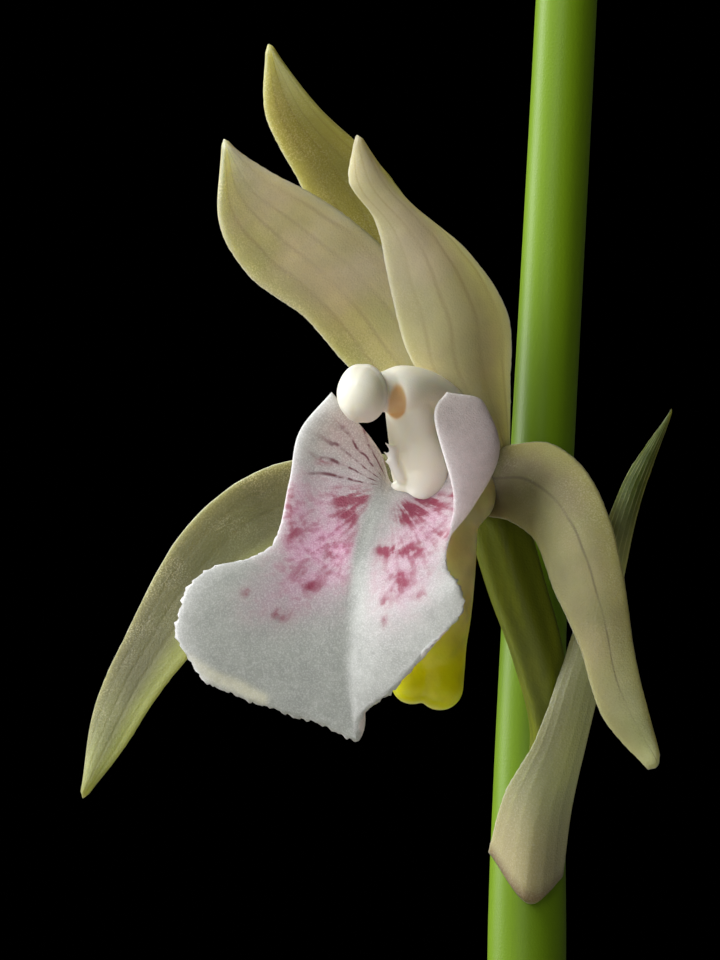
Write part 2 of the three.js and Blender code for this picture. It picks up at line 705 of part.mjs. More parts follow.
// The green and the white parts of the flowers further up, before each is fitted to the stem.
const plain = { domeRings: 1 };
const otherGreen = clear(
  fuse(
    limb(OVARY, 6, 5, plain),
    limb(HUB, 6, 1, plain),
    limb(AXIL, 6, 1, plain),
    blade(BRACT, 2, 4),
    ...Object.values(TEPALS).map((rails) => blade(rails, 2, 4)),
  ),
  limb(COLUMN_BACK, 6, 3, { grow: GAP, domeRings: 1 }),
);
const otherWhite = clear(
  fuse(
    blade(LIP, 6, 5),
    limb(CLAW, 6, 1, plain),
    limb(SPUR, 6, 2, plain),
    limb(COLUMN_BACK, 6, 3, plain),
    limb(COLUMN_FOOT, 6, 3, plain),
    limb(ANTHER_CAP, 6, 1, plain),
  ),
  limb(OVARY, 6, 5, { grow: GAP, domeRings: 1 }),
  limb(HUB, 6, 1, { grow: GAP, domeRings: 1 }),
);

/** A flower further up the stem: its green parts in one piece and its white parts in another. */
function makeOtherBloom(spec, number) {
  const { group, stem } = stemFrame(spec);
  group.add(
    piece(`flower_${number}_green`, clear(otherGreen, stem), FINISHES.tepal),
    piece(`flower_${number}_white`, otherWhite, FINISHES.lip),
  );
  return group;
}

/** A closed bud with its stalk and bract. */
function makeBud(spec, number) {
  const { group, stem } = stemFrame(spec);
  const bud = fuse(limb(BUD, 6, 5, plain), limb(AXIL, 5, 1, plain), blade(BUD_BRACT, 2, 3));
  group.add(piece(`bud_${number}`, clear(bud, stem), FINISHES.stem));
  return group;
}

// Assembly

const orchid = new THREE.Group();
const rhizomeCutter = rhizomeSolid(GAP);
const bulbCutters = GROWTHS.map((growth) => bulbSolid(growth, GAP));
orchid.add(makePot(), makeMix([rhizomeCutter, ...bulbCutters, scapeSolid(GAP)]));
orchid.add(piece("rhizome_and_roots", rhizomeSolid(0), FINISHES.root));
GROWTHS.forEach((growth, i) => {
  const leaf = sheet(leafSurface(growth), 4, 13, LEAF_THICKNESS);
  orchid.add(
    piece(`pseudobulb_${i + 1}`, clear(bulbSolid(growth, 0), rhizomeCutter), FINISHES.bulb),
    piece(`leaf_${i + 1}`, clear(leaf, ...bulbCutters), FINISHES.leaf),
  );
});
orchid.add(piece("flower_stem", clear(scapeSolid(0), rhizomeCutter, ...bulbCutters), FINISHES.stem));
SHEATHS.forEach((spec, i) => orchid.add(makeSheath(spec, i + 1)));
orchid.add(makeBloom());
OTHER_BLOOMS.forEach((spec, i) => orchid.add(makeOtherBloom(spec, i + 2)));
BUDS.forEach((spec, i) => orchid.add(makeBud(spec, i + 1)));

export default orchid;
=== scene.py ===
"""The looks of a potted monk orchid: flowers, stem, leaves, pseudobulbs, potting mix and clay pot.

Sizes are in millimetres and turn to metres where a mesh is made. A flower is shaped in its own frame, about
the point where its stalk leaves the stem, and then placed on the stem.
"""

from __future__ import annotations

import logging
import math
from dataclasses import dataclass, field, replace
from enum import Enum
from typing import Callable, Sequence

import bpy
import numpy as np
from mathutils import Matrix, Vector


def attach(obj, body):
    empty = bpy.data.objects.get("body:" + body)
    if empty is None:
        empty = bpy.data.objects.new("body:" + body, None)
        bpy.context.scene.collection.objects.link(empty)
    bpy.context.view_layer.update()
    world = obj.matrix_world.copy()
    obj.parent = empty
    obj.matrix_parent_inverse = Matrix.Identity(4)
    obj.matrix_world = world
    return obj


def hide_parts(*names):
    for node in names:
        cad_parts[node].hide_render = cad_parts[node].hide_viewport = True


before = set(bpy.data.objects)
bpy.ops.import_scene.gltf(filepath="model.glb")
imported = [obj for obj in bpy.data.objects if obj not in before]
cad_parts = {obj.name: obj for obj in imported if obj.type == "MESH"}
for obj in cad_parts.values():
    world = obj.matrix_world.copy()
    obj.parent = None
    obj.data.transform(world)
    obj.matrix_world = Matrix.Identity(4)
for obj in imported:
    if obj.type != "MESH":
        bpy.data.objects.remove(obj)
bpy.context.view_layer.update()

LOG = logging.getLogger("orchid")
MM = 0.001
Stations = Sequence[Sequence[float]]
Rails = Sequence[Sequence[Sequence[float]]]
Tree = bpy.types.NodeTree
Feed = object
Socket = bpy.types.NodeSocket


# Form of the plant


SCAPE: Stations = (
    (12.5, -5.5, 88, 2.3), (14.7, -11, 95, 2.3), (16.6, -13.8, 108, 2.2), (17.2, -13.8, 130, 2.0),
    (17.6, -12.4, 180, 1.65), (18.5, -10.3, 235, 1.3), (19.05, -9.1, 270, 1.12),
    (19.15, -9, 283.5, 1.06), (19.2, -9, 287, 0.98), (19.35, -9, 292, 0.88),
    (20.2, -9, 308.3, 0.83), (22, -8.6, 345, 0.78), (23.8, -8, 385, 0.7),
    (25, -7.2, 420, 0.58), (25.6, -6.8, 446, 0.42),
)
OVARY: Stations = (
    (0.1, -1.35, 0.5, 0.46), (0.5, -1.85, 2.2, 0.5), (0.75, -2.35, 4.0, 0.56), (0.38, -2.9, 6.0, 0.68),
    (-0.25, -3.2, 8.0, 0.78), (-0.75, -3.25, 9.8, 0.82), (-0.9, -3.2, 10.5, 0.85),
)
HUB: Stations = ((-0.7, -3.2, 10.2, 0.85), (-1.0, -3.2, 10.9, 0.95))
AXIL: Stations = ((0.1, -1.3, 0, 0.5), (0.2, -2.0, 0.9, 0.62))
DORSAL_SEPAL: Rails = (
    ((-1.25, -2.3, 11.2), (-2.6, -2.1, 13.2), (-4.3, -2.7, 15.4),
     (-5.97, -3.4, 18.55), (-6.89, -4.2, 20.4), (-6.87, -4.7, 21.99)),
    ((-0.9, -2, 11.2), (-1.7, -1.7, 13.4), (-3.1, -2.3, 15.8),
     (-4.82, -3.1, 18.88), (-6.2, -4, 20.65), (-6.79, -4.6, 22.21)),
    ((-0.6, -2.3, 11.2), (-1, -2.1, 13.6), (-2, -2.7, 16.2),
     (-3.62, -3.4, 18.81), (-5.43, -4.2, 20.51), (-6.67, -4.7, 22.05)),
)
PETAL_LEFT: Rails = (
    ((-2.1, -3, 11.3), (-4.8, -3.6, 13.8), (-5.83, -4.3, 14.96),
     (-7.28, -4.9, 16.03), (-8.07, -5.3, 17.37), (-8, -5.5, 19.31)),
    ((-2, -2.75, 11.5), (-3.62, -3.2, 14.34), (-4.85, -3.85, 15.87),
     (-6.31, -4.45, 17.13), (-7.52, -5, 18.22), (-7.96, -5.4, 19.65)),
    ((-1.8, -2.65, 11.8), (-2.29, -3.3, 14.92), (-3.71, -4, 16.8),
     (-5.22, -4.6, 18), (-6.88, -5.1, 18.89), (-7.81, -5.5, 19.5)),
)
PETAL_RIGHT: Rails = (
    ((-1, -3.95, 11.4), (-2.99, -4.9, 13.78), (-3.55, -5.7, 15.61),
     (-3.99, -6.5, 17.49), (-4.66, -7, 18.49), (-4.55, -7.3, 19.42)),
    ((-0.65, -3.95, 11.4), (-1.56, -4.8, 13.36), (-2, -5.7, 15.32),
     (-2.85, -6.5, 17.12), (-4, -7.15, 18.46), (-4.45, -7.4, 19.68)),
    ((-0.4, -3.7, 11.4), (-0.37, -3.9, 13.18), (-0.45, -4.7, 15.03),
     (-1.53, -5.8, 16.69), (-3.11, -6.7, 18), (-4.32, -7.25, 19.53)),
)
LATERAL_SEPAL_LEFT: Rails = (
    ((-1.9, -2.7, 10.9), (-3.3, -2.2, 11.3), (-5.2, -2, 11.35), (-7.21, -2.2, 10.85),
     (-9.02, -2.6, 9.4), (-10.65, -3.2, 6.47), (-11.45, -3.6, 4.56), (-11.76, -3.9, 2.29)),
    ((-1.8, -2.3, 10.4), (-3.3, -1.9, 10.3), (-5.1, -1.9, 10.15), (-7.1, -2.3, 9.45),
     (-8.72, -2.9, 7.94), (-10.17, -3.5, 5.73), (-11.09, -3.9, 3.88), (-11.73, -4, 2.21)),
    ((-1.8, -2.6, 9.9), (-3.3, -2.7, 9.35), (-5.05, -2.8, 8.85), (-6.82, -3.1, 7.99),
     (-8.36, -3.6, 6.56), (-9.66, -4, 5.03), (-10.72, -4.1, 3.41), (-11.6, -4, 2.32)),
)
LATERAL_SEPAL_RIGHT: Rails = (
    ((-0.65, -4, 11.56), (0.61, -4.5, 11.65), (1.52, -5.3, 11), (2.13, -6.1, 9.82),
     (2.52, -6.8, 8.25), (2.85, -7.3, 5.95), (3.46, -7.6, 3.48)),
    ((-0.92, -4.3, 10.66), (0.07, -4.85, 10.61), (0.89, -5.6, 10.05), (1.47, -6.45, 8.88),
     (1.93, -7.08, 7.32), (2.41, -7.5, 5.18), (3.4, -7.72, 3.2)),
    ((-1.08, -4.3, 9.7), (-0.45, -4.9, 9.58), (0.22, -5.7, 9.08), (0.69, -6.6, 7.83),
     (1.36, -7.2, 6.32), (1.98, -7.6, 4.44), (3.15, -7.75, 3.09)),
)
LIP: Rails = (
    ((-5.12, -5.9, 12.98), (-5.97, -6.3, 11.92), (-6.24, -6.7, 10.57), (-6.75, -7.3, 8.9),
     (-8.62, -8.1, 8.15), (-9.16, -8.5, 6.72), (-8.4, -8.4, 5.36)),
    ((-4.58, -5.65, 12.36), (-5.38, -6, 11.5), (-5.59, -6.5, 9.99), (-5.87, -7.2, 8.74),
     (-7.22, -8, 7.92), (-7.86, -8.35, 6.43), (-7.29, -8.3, 4.92)),
    ((-4.17, -5.55, 11.87), (-4.65, -6.05, 11), (-4.91, -6.7, 9.7), (-5.08, -7.4, 8.56),
     (-5.87, -8, 7.49), (-6.36, -8.3, 5.93), (-6.04, -8.3, 4.49)),
    ((-3.86, -5.6, 11.33), (-4.15, -6.3, 10.6), (-4.44, -6.95, 9.42), (-4.65, -7.7, 8.42),
     (-5.01, -8.15, 7.21), (-5.22, -8.35, 5.57), (-5.01, -8.3, 4.13)),
    ((-3.63, -5.75, 10.57), (-3.79, -6.5, 10.13), (-4.11, -7.1, 9.24), (-4.42, -7.85, 8.28),
     (-4.58, -8.25, 7.07), (-4.65, -8.4, 5.36), (-4.42, -8.35, 3.84)),
    ((-2.92, -5.9, 10.35), (-3.29, -6.5, 9.99), (-3.61, -7.25, 9.13), (-4.01, -8.05, 8.28),
     (-4.21, -8.55, 7.15), (-4.37, -8.7, 5.58), (-4.31, -8.65, 4.53)),
    ((-2.27, -5.6, 10.57), (-2.35, -6.4, 9.99), (-2.93, -7.6, 9.21), (-3.44, -8.45, 8.36),
     (-3.65, -9.1, 7.37), (-3.73, -9.2, 6.16), (-3.62, -9.1, 5.09)),
    ((-1.2, -6.2, 12.7), (-0.8, -6.45, 11.55), (-1.5, -7.5, 10.0), (-2.8, -8.9, 8.43),
     (-2.81, -9.65, 7.52), (-2.81, -9.75, 6.74), (-3.05, -9.55, 5.74)),
    ((-2.1, -6.9, 12.97), (-2.43, -7.5, 12.43), (-1.93, -8.55, 10.14), (-2.13, -9.4, 8.52),
     (-1.85, -10.05, 7.99), (-1.66, -10.2, 7.39), (-2.56, -10, 6.39)),
)
CLAW: Stations = ((-1.35, -4.25, 10.3, 0.7), (-1.95, -5.3, 9.9, 0.85))
SPUR: Stations = (
    (-2.0, -5.3, 9.9, 0.8), (-2.05, -5.35, 9.2, 0.78), (-2.1, -5.4, 8.3, 0.78), (-2.25, -5.45, 7.0, 0.8),
    (-2.4, -5.5, 6.2, 0.8),
)
SPUR_LOBES: Sequence[Stations] = (
    ((-2.45, -5.5, 7.0, 0.6), (-2.9, -5.55, 6.0, 0.6), (-3.0, -5.6, 5.3, 0.56)),
    ((-2.2, -5.45, 7.0, 0.7), (-2.24, -5.5, 6.0, 0.66), (-2.26, -5.6, 5.2, 0.62)),
)
COLUMN_BACK: Stations = (
    (-1.65, -4.2, 11.2, 0.6), (-1.98, -4.7, 12.25, 0.68), (-2.62, -5.3, 12.83, 0.7), (-3.3, -6.0, 13.0, 0.68),
    (-3.7, -6.3, 12.98, 0.55),
)
COLUMN_FACE: Stations = (
    (-2.85, -5.88, 10.15, 0.5), (-2.8, -5.7, 10.5, 0.68), (-2.77, -5.5, 10.9, 0.79), (-2.85, -5.6, 11.3, 0.74),
    (-2.98, -5.65, 11.8, 0.65), (-3.04, -5.7, 12.4, 0.66), (-3.1, -5.75, 12.95, 0.66),
)
COLUMN_FOOT: Stations = ((-3.35, -5.92, 10.3, 0.34), (-2.8, -5.8, 10.25, 0.48), (-2.2, -5.6, 10.45, 0.4))
CALLUS: Sequence[Stations] = (
    ((-3.3, -6.2, 10.7, 0.14), (-3.5, -6.25, 11.1, 0.13), (-3.5, -6.2, 11.5, 0.09)),
    ((-3.5, -6.25, 11.45, 0.08), (-3.68, -6.3, 11.62, 0.04)),
    ((-3.5, -6.25, 11.25, 0.09), (-3.73, -6.32, 11.38, 0.04)),
    ((-3.5, -6.25, 11.08, 0.09), (-3.68, -6.34, 11.14, 0.045)),
)
ANTHER_CAP: Stations = ((-4.22, -6.5, 12.93, 0.58), (-4.3, -6.8, 12.93, 0.68), (-4.36, -7.0, 12.92, 0.62))
BRACT: Rails = (
    ((-0.91, -0.4, 0.61), (-0.46, -2.2, 2.35), (0.29, -3.3, 3.73), (1.04, -3.5, 5.81),
     (1.8, -3.6, 8.26), (2.68, -3.7, 10.71), (3.85, -3.8, 12.44)),
    ((0.18, -1.4, -0.74), (0.46, -2.7, 1.85), (1.03, -3.5, 3.88), (1.58, -3.7, 5.82),
     (2.17, -3.7, 8.05), (2.86, -3.75, 10.39), (3.91, -3.8, 12.55)),
    ((1.1, -0.4, -0.1), (1.32, -1.9, 1.91), (1.7, -2.8, 3.77), (2.14, -3.2, 5.65),
     (2.58, -3.4, 7.68), (3.08, -3.6, 9.99), (3.93, -3.8, 12.44)),
)
BUD: Stations = (
    (0, -1.4, 0.6, 0.42), (0.1, -2.2, 2.6, 0.46), (0.1, -2.8, 4.6, 0.6),
    (0.1, -3.3, 6.6, 1.25), (0.05, -4.0, 8.6, 1.3), (0, -4.5, 10.4, 0.55),
)
BUD_BRACT: Rails = (
    ((-1.1, -1.2, 0.2), (-0.9, -2.4, 2.0), (-0.6, -3.2, 4.0), (-0.3, -4.0, 6.0)),
    ((0, -1.7, -0.3), (0, -3.2, 2.0), (0.1, -4.0, 4.0), (0, -4.6, 6.2)),
    ((1.1, -1.2, 0.2), (1.0, -2.4, 2.0), (0.7, -3.2, 4.0), (0.3, -4.0, 6.0)),
)


# Numbers and curves


def linear(colour: str) -> tuple[float, float, float, float]:
    """Turn an sRGB hex colour to linear red, green, blue and alpha.

    Args:
        colour: Six hex digits, such as "a89a84".

    Returns:
        The linear colour with an alpha of 1.
    """
    parts = [int(colour[i:i + 2], 16) / 255 for i in (0, 2, 4)]
    red, green, blue = (c / 12.92 if c <= 0.04045 else ((c + 0.055) / 1.055) ** 2.4 for c in parts)
    return red, green, blue, 1.0


def per(size: float) -> float:
    """Pattern scale in Object coordinates for a feature of this many millimetres."""
    return 1.0 / (size * MM)


def ease(low: float, high: float, value: np.ndarray) -> np.ndarray:
    """Smooth step from 0 at low to 1 at high."""
    t = np.clip((value - low) / (high - low), 0.0, 1.0)
    return t * t * (3 - 2 * t)


def smooth_curve(points: np.ndarray, params: np.ndarray) -> np.ndarray:
    """Follow the smooth curve through control points, with its speed set by the square root of their spacing.

    Args:
        points: Control points along the first axis, with x, y and z on the last.
        params: Where to look, from 0 at the first point to 1 at the last.

    Returns:
        The curve's points, one for each parameter, along the first axis.
    """
    points = np.asarray(points, float)
    count = len(points)
    padded = np.concatenate([2 * points[:1] - points[1:2], points, 2 * points[-1:] - points[-2:-1]])
    place = np.asarray(params, float) * (count - 1)
    index = np.clip(np.floor(place).astype(int), 0, count - 2)
    weight = (place - index).reshape((-1,) + (1,) * (points.ndim - 1))
    p0, p1, p2, p3 = (padded[index + k] for k in range(4))

    def spacing(a: np.ndarray, b: np.ndarray) -> np.ndarray:
        """Square root of the distance between two rows of points."""
        return np.sum((b - a) ** 2, axis=-1, keepdims=True) ** 0.25

    d1 = np.maximum(spacing(p1, p2), 1e-4)
    d0, d2 = np.maximum(spacing(p0, p1), 1e-4), np.maximum(spacing(p2, p3), 1e-4)
    t1 = ((p1 - p0) / d0 - (p2 - p0) / (d0 + d1) + (p2 - p1) / d1) * d1
    t2 = ((p2 - p1) / d1 - (p3 - p1) / (d1 + d2) + (p3 - p2) / d2) * d1
    a = 2 * p1 - 2 * p2 + t1 + t2
    b = -3 * p1 + 3 * p2 - 2 * t1 - t2
    return ((a * weight + b) * weight + t1) * weight + p1


def smooth_values(values: np.ndarray, params: np.ndarray) -> np.ndarray:
    """Follow a row of numbers smoothly.

    Args:
        values: The numbers, evenly spaced.
        params: Where to look, from 0 to 1.

    Returns:
        The numbers in between.
    """
    values = np.asarray(values, float)
    count = len(values)
    padded = np.concatenate([values[:1], values, values[-1:]])
    place = np.asarray(params, float) * (count - 1)
    index = np.clip(np.floor(place).astype(int), 0, count - 2)
    w = place - index
    v0, v1, v2, v3 = (padded[index + k] for k in range(4))
    t1, t2 = (v2 - v0) / 2, (v3 - v1) / 2
    return ((2 * v1 - 2 * v2 + t1 + t2) * w + (-3 * v1 + 3 * v2 - 2 * t1 - t2)) * w * w + t1 * w + v1


def unit(vectors: np.ndarray) -> np.ndarray:
    """Vectors of length 1 along the last axis."""
    return vectors / np.maximum(np.linalg.norm(vectors, axis=-1, keepdims=True), 1e-12)


# Meshes in the making


@dataclass
class Part:
    """A closed surface in millimetres, with named marks on its points and one finish."""

    points: np.ndarray
    faces: list[tuple[int, ...]]
    marks: dict[str, np.ndarray] = field(default_factory=dict)
    finish: int = 0

    def outward(self) -> "Part":
        """This part with its faces turned to point out.

        Returns:
            This part.
        """
        volume = 0.0
        for face in self.faces:
            corners = self.points[list(face)]
            for i in range(1, len(face) - 1):
                volume += float(np.dot(corners[0], np.cross(corners[i], corners[i + 1])))
        if volume < 0:
            self.faces = [face[::-1] for face in self.faces]
        return self

    def dressed(self, finish: int, **marks: np.ndarray) -> "Part":
        """This part with a finish's number and more marks.

        Args:
            finish: The number of its finish.
            **marks: A value for each point, by mark name.

        Returns:
            This part.
        """
        self.finish = finish
        self.marks.update(marks)
        return self


@dataclass(frozen=True)
class BladeForm:
    """How a thin blade is meshed: steps, thickness and the waves of its margin."""

    across: int = 44
    along: int = 90
    thickness: float = 0.42
    rim: float = 0.16
    crinkle: float = 0.0
    crinkle_from: float = 0.0
    keel: float = 0.0
    facing: int = 1


def rail_grid(rails: Rails, us: np.ndarray, vs: np.ndarray) -> np.ndarray:
    """Points of the smooth surface through rails.

    Args:
        rails: Rows of control points from base to tip.
        us: Places across the rails, from 0 to 1.
        vs: Places along the rails, from 0 to 1.

    Returns:
        Points indexed by place across, place along and axis.
    """
    lines = np.stack([smooth_curve(np.asarray(rail, float), vs) for rail in rails])
    return smooth_curve(lines, us)


def sheet_part(surface: np.ndarray, us: np.ndarray, vs: np.ndarray, form: BladeForm) -> Part:
    """Give a surface its thickness, thinner to the margin, and wave its margin.

    Args:
        surface: Points indexed by place across, place along and axis.
        us: The places across.
        vs: The places along.
        form: Thickness and margin.

    Returns:
        A closed part with the marks across, along and front.
    """
    du, dv = np.gradient(surface, us, axis=0), np.gradient(surface, vs, axis=1)
    normal = unit(np.cross(du, dv))
    middle = normal[len(us) // 2][None]
    width = np.linalg.norm(np.diff(surface, axis=0), axis=-1).sum(0)
    share = np.clip(width / (6 * form.thickness), 0, 1)[None, :, None]
    normal = unit(middle + (normal - middle) * share) * form.facing
    c = (2 * us - 1)[:, None]
    u, v = np.meshgrid(us, vs, indexing="ij")
    if form.crinkle:
        begun = ease(form.crinkle_from - 0.05, form.crinkle_from + 0.05, vs)[None]
        side, tip = np.abs(c) ** 50 * begun, vs[None] ** 40 * np.ones_like(c)
        run = np.cumsum(np.linalg.norm(dv, axis=-1), axis=1) / len(vs) * side
        run = run + np.cumsum(np.linalg.norm(du, axis=-1), axis=0) / len(us) * tip
        weight = np.clip(side + tip, 0, 1)
        tooth = np.sin(run * 19.0) + 0.8 * np.sin(run * 31.0 + 1.3) + 1.2 * np.sin(run * 5.3)
        surface = surface + normal * (0.6 * form.crinkle * weight * np.sin(run * 13.0 + 2.0))[..., None]
        out = unit(du) * (np.sign(c) * side)[..., None] + unit(dv) * tip[..., None]
        surface = surface + out * (0.5 * form.crinkle * tooth * weight)[..., None]
    edge = np.sqrt(1 - np.abs(c) ** 26) * np.sqrt(1 - np.abs(2 * vs[None] - 1) ** 60)
    thick = (form.rim + (form.thickness - form.rim) * (1 - np.abs(c) ** 2.2)) * edge
    ridge = form.keel * np.exp(-((c / 0.09) ** 2)) * (1 - vs[None] ** 3)
    front = surface + normal * (thick / 2)[..., None]
    back = surface - normal * (thick / 2 + ridge * edge)[..., None]
    rows, cols = len(us), len(vs)
    inner = np.zeros((rows, cols), bool)
    inner[1:-1, 1:-1] = True
    front_ids = np.arange(rows * cols).reshape(rows, cols)
    back_ids = front_ids.copy()
    back_ids[inner] = rows * cols + np.arange(int(inner.sum()))
    rim = ~inner
    front[rim] = surface[rim]
    points = np.concatenate([front.reshape(-1, 3), back[inner]])

    def quads(ids: np.ndarray) -> np.ndarray:
        """Corners of every cell of a grid of point numbers."""
        return np.stack([ids[:-1, :-1], ids[1:, :-1], ids[1:, 1:], ids[:-1, 1:]], -1).reshape(-1, 4)

    faces = [tuple(q) for q in quads(front_ids).tolist()]
    faces += [tuple(q[::-1]) for q in quads(back_ids).tolist()]
    facing = np.where(inner, 1.0, 0.5).reshape(-1)
    marks = {
        "across": np.concatenate([u.reshape(-1), u[inner]]),
        "along": np.concatenate([v.reshape(-1), v[inner]]),
        "front": np.concatenate([facing, np.zeros(int(inner.sum()))]),
    }
    if form.facing < 0:
        faces = [face[::-1] for face in faces]
    return Part(points, faces, marks)


def blade_part(rails: Rails, form: BladeForm) -> Part:
    """A thin blade through its rails.

    Args:
        rails: Rows of control points from base to tip.
        form: Steps, thickness and margin.

    Returns:
        The closed blade.
    """
    s = np.linspace(0, 1, form.across + 1)
    us = s - 0.06 * np.sin(2 * math.pi * s) / (2 * math.pi) * 2
    vs = np.linspace(0, 1, form.along + 1)
    return sheet_part(rail_grid(rails, us, vs), us, vs, form)


def limb_part(
    stations: Stations, sides: int, steps: int, swell: Callable[[np.ndarray, np.ndarray], np.ndarray] | None = None
) -> Part:
    """A smooth limb of round section through its stations, with domed ends.

    Args:
        stations: Rows of x, y, z and radius.
        sides: Sides of the section.
        steps: Rings between the ends.
        swell: Factor on the radius from the place along, 0 to 1, and the angle round the limb.

    Returns:
        The closed limb with the marks along and front.
    """
    rows = np.asarray(stations, float)
    ts = np.linspace(0, 1, steps + 1)
    path, radius = smooth_curve(rows[:, :3], ts), smooth_values(rows[:, 3], ts)
    ahead = unit(np.gradient(path, axis=0))
    dome = np.radians([72, 54, 36, 18])
    centres = np.concatenate([
        path[:1] - ahead[:1] * (radius[0] * np.sin(dome))[:, None], path,
        path[-1:] + ahead[-1:] * (radius[-1] * np.sin(dome[::-1]))[:, None],
    ])
    radii = np.concatenate([radius[0] * np.cos(dome), radius, radius[-1] * np.cos(dome[::-1])])
    aheads = np.concatenate([np.repeat(ahead[:1], 4, 0), ahead, np.repeat(ahead[-1:], 4, 0)])
    places = np.concatenate([np.zeros(4), ts, np.ones(4)])
    angles = np.linspace(0, 2 * math.pi, sides, endpoint=False)
    side = np.array([1.0, 0.0, 0.0])
    rings = []
    for centre, along, reach, place in zip(centres, aheads, radii, places):
        side = unit(side - along * np.dot(side, along))
        other = np.cross(along, side)
        factor = swell(np.full(sides, place), angles) if swell else 1.0
        spread = (reach * factor * np.ones(sides))[:, None]
        rings.append(centre + spread * (np.cos(angles)[:, None] * side + np.sin(angles)[:, None] * other))
    poles = [path[0] - ahead[0] * radius[0], path[-1] + ahead[-1] * radius[-1]]
    points = np.concatenate([np.concatenate(rings), np.array(poles)])
    faces: list[tuple[int, ...]] = []
    for j in range(len(rings) - 1):
        for i in range(sides):
            a, b = j * sides + i, j * sides + (i + 1) % sides
            faces.append((a, b, b + sides, a + sides))
    last, first_pole = (len(rings) - 1) * sides, len(rings) * sides
    for i in range(sides):
        faces.append(((i + 1) % sides, i, first_pole))
        faces.append((last + i, last + (i + 1) % sides, first_pole + 1))
    marks = {"along": np.concatenate([np.repeat(places, sides), [0.0, 1.0]]), "front": np.ones(len(points))}
    return Part(points, faces, marks).outward()


def mesh_of(parts: Sequence[Part], name: str, scale: float = MM, place: np.ndarray | None = None) -> bpy.types.Mesh:
    """Make one mesh of several parts.

    Args:
        parts: The parts, in millimetres.
        name: Name of the mesh.
        scale: Size of a millimetre in the mesh.
        place: A 4 by 4 matrix in millimetres that is applied first.

    Returns:
        The mesh, with each mark as a float attribute and each part's finish as its material number.
    """
    points, faces, numbers = [], [], []
    names = sorted({key for part in parts for key in part.marks})
    start = 0
    for part in parts:
        points.append(part.points)
        faces += [tuple(i + start for i in face) for face in part.faces]
        numbers += [part.finish] * len(part.faces)
        start += len(part.points)
    co = np.concatenate(points)
    if place is not None:
        co = co @ place[:3, :3].T + place[:3, 3]
    mesh = bpy.data.meshes.new(name)
    mesh.from_pydata((co * scale).tolist(), [], faces)
    mesh.polygons.foreach_set("material_index", numbers)
    mesh.polygons.foreach_set("use_smooth", [True] * len(faces))
    for key in names:
        values = np.concatenate([part.marks.get(key, np.zeros(len(part.points))) for part in parts])
        mesh.attributes.new(key, "FLOAT", "POINT").data.foreach_set("value", values.astype(np.float32))
    mesh.update()
    return mesh


def show(mesh: bpy.types.Mesh, name: str) -> bpy.types.Object:
    """Put a mesh in the scene as an object at the origin.

    Args:
        mesh: The mesh.
        name: The object's name.

    Returns:
        The object, linked to the scene.
    """
    thing = bpy.data.objects.new(name, mesh)
    bpy.context.scene.collection.objects.link(thing)
    return thing


def settled(thing: bpy.types.Object, name: str) -> bpy.types.Mesh:
    """Apply an object's modifiers and remove the object.

    Args:
        thing: The object with its modifiers.
        name: Name of the new mesh.

    Returns:
        The plain mesh that the modifiers give.
    """
    graph = bpy.context.evaluated_depsgraph_get()
    mesh = bpy.data.meshes.new_from_object(thing.evaluated_get(graph), preserve_all_data_layers=True, depsgraph=graph)
    mesh.name = name
    bpy.data.objects.remove(thing)
    return mesh


def melted(parts: Sequence[Part], voxel: float, smoothing: int) -> Part:
    """Melt parts that run into each other into one smooth closed part.

    Args:
        parts: The parts, in millimetres.
        voxel: Size of the detail that is kept, in millimetres.
        smoothing: Rounds of smoothing.

    Returns:
        The melted part.
    """
    thing = show(mesh_of(parts, "melting", scale=1.0), "melting")
    remesh = thing.modifiers.new("join", "REMESH")
    remesh.mode, remesh.voxel_size = "VOXEL", voxel
    soften = thing.modifiers.new("soften", "SMOOTH")
    soften.factor, soften.iterations = 0.5, smoothing
    mesh = settled(thing, "melted")
    co = np.empty(len(mesh.vertices) * 3)
    mesh.vertices.foreach_get("co", co)
    faces = [tuple(p.vertices) for p in mesh.polygons]
    bpy.data.meshes.remove(mesh)
    points = co.reshape(-1, 3)
    return Part(points, faces, {"front": np.ones(len(points))}).outward()


def place_on_stem(z: float, turn: float, size: float) -> np.ndarray:
    """Where a flower, bud or sheath sits.

    Args:
        z: Height of its node on the stem.
        turn: Turn about the stem, in degrees.
        size: Its scale.

    Returns:
        A 4 by 4 matrix in millimetres.
    """
    low, high = 0.0, 1.0
    path = np.asarray(SCAPE, float)[:, :3]
    for _ in range(30):
        half = (low + high) / 2
        low, high = (half, high) if smooth_curve(path, np.array([half]))[0, 2] < z else (low, half)
    spot = smooth_curve(path, np.array([low]))[0]
    turned = Matrix.Rotation(math.radians(turn), 4, "Z") @ Matrix.Scale(size, 4)
    return np.array(Matrix.Translation(Vector(spot)) @ turned)


# Node trees


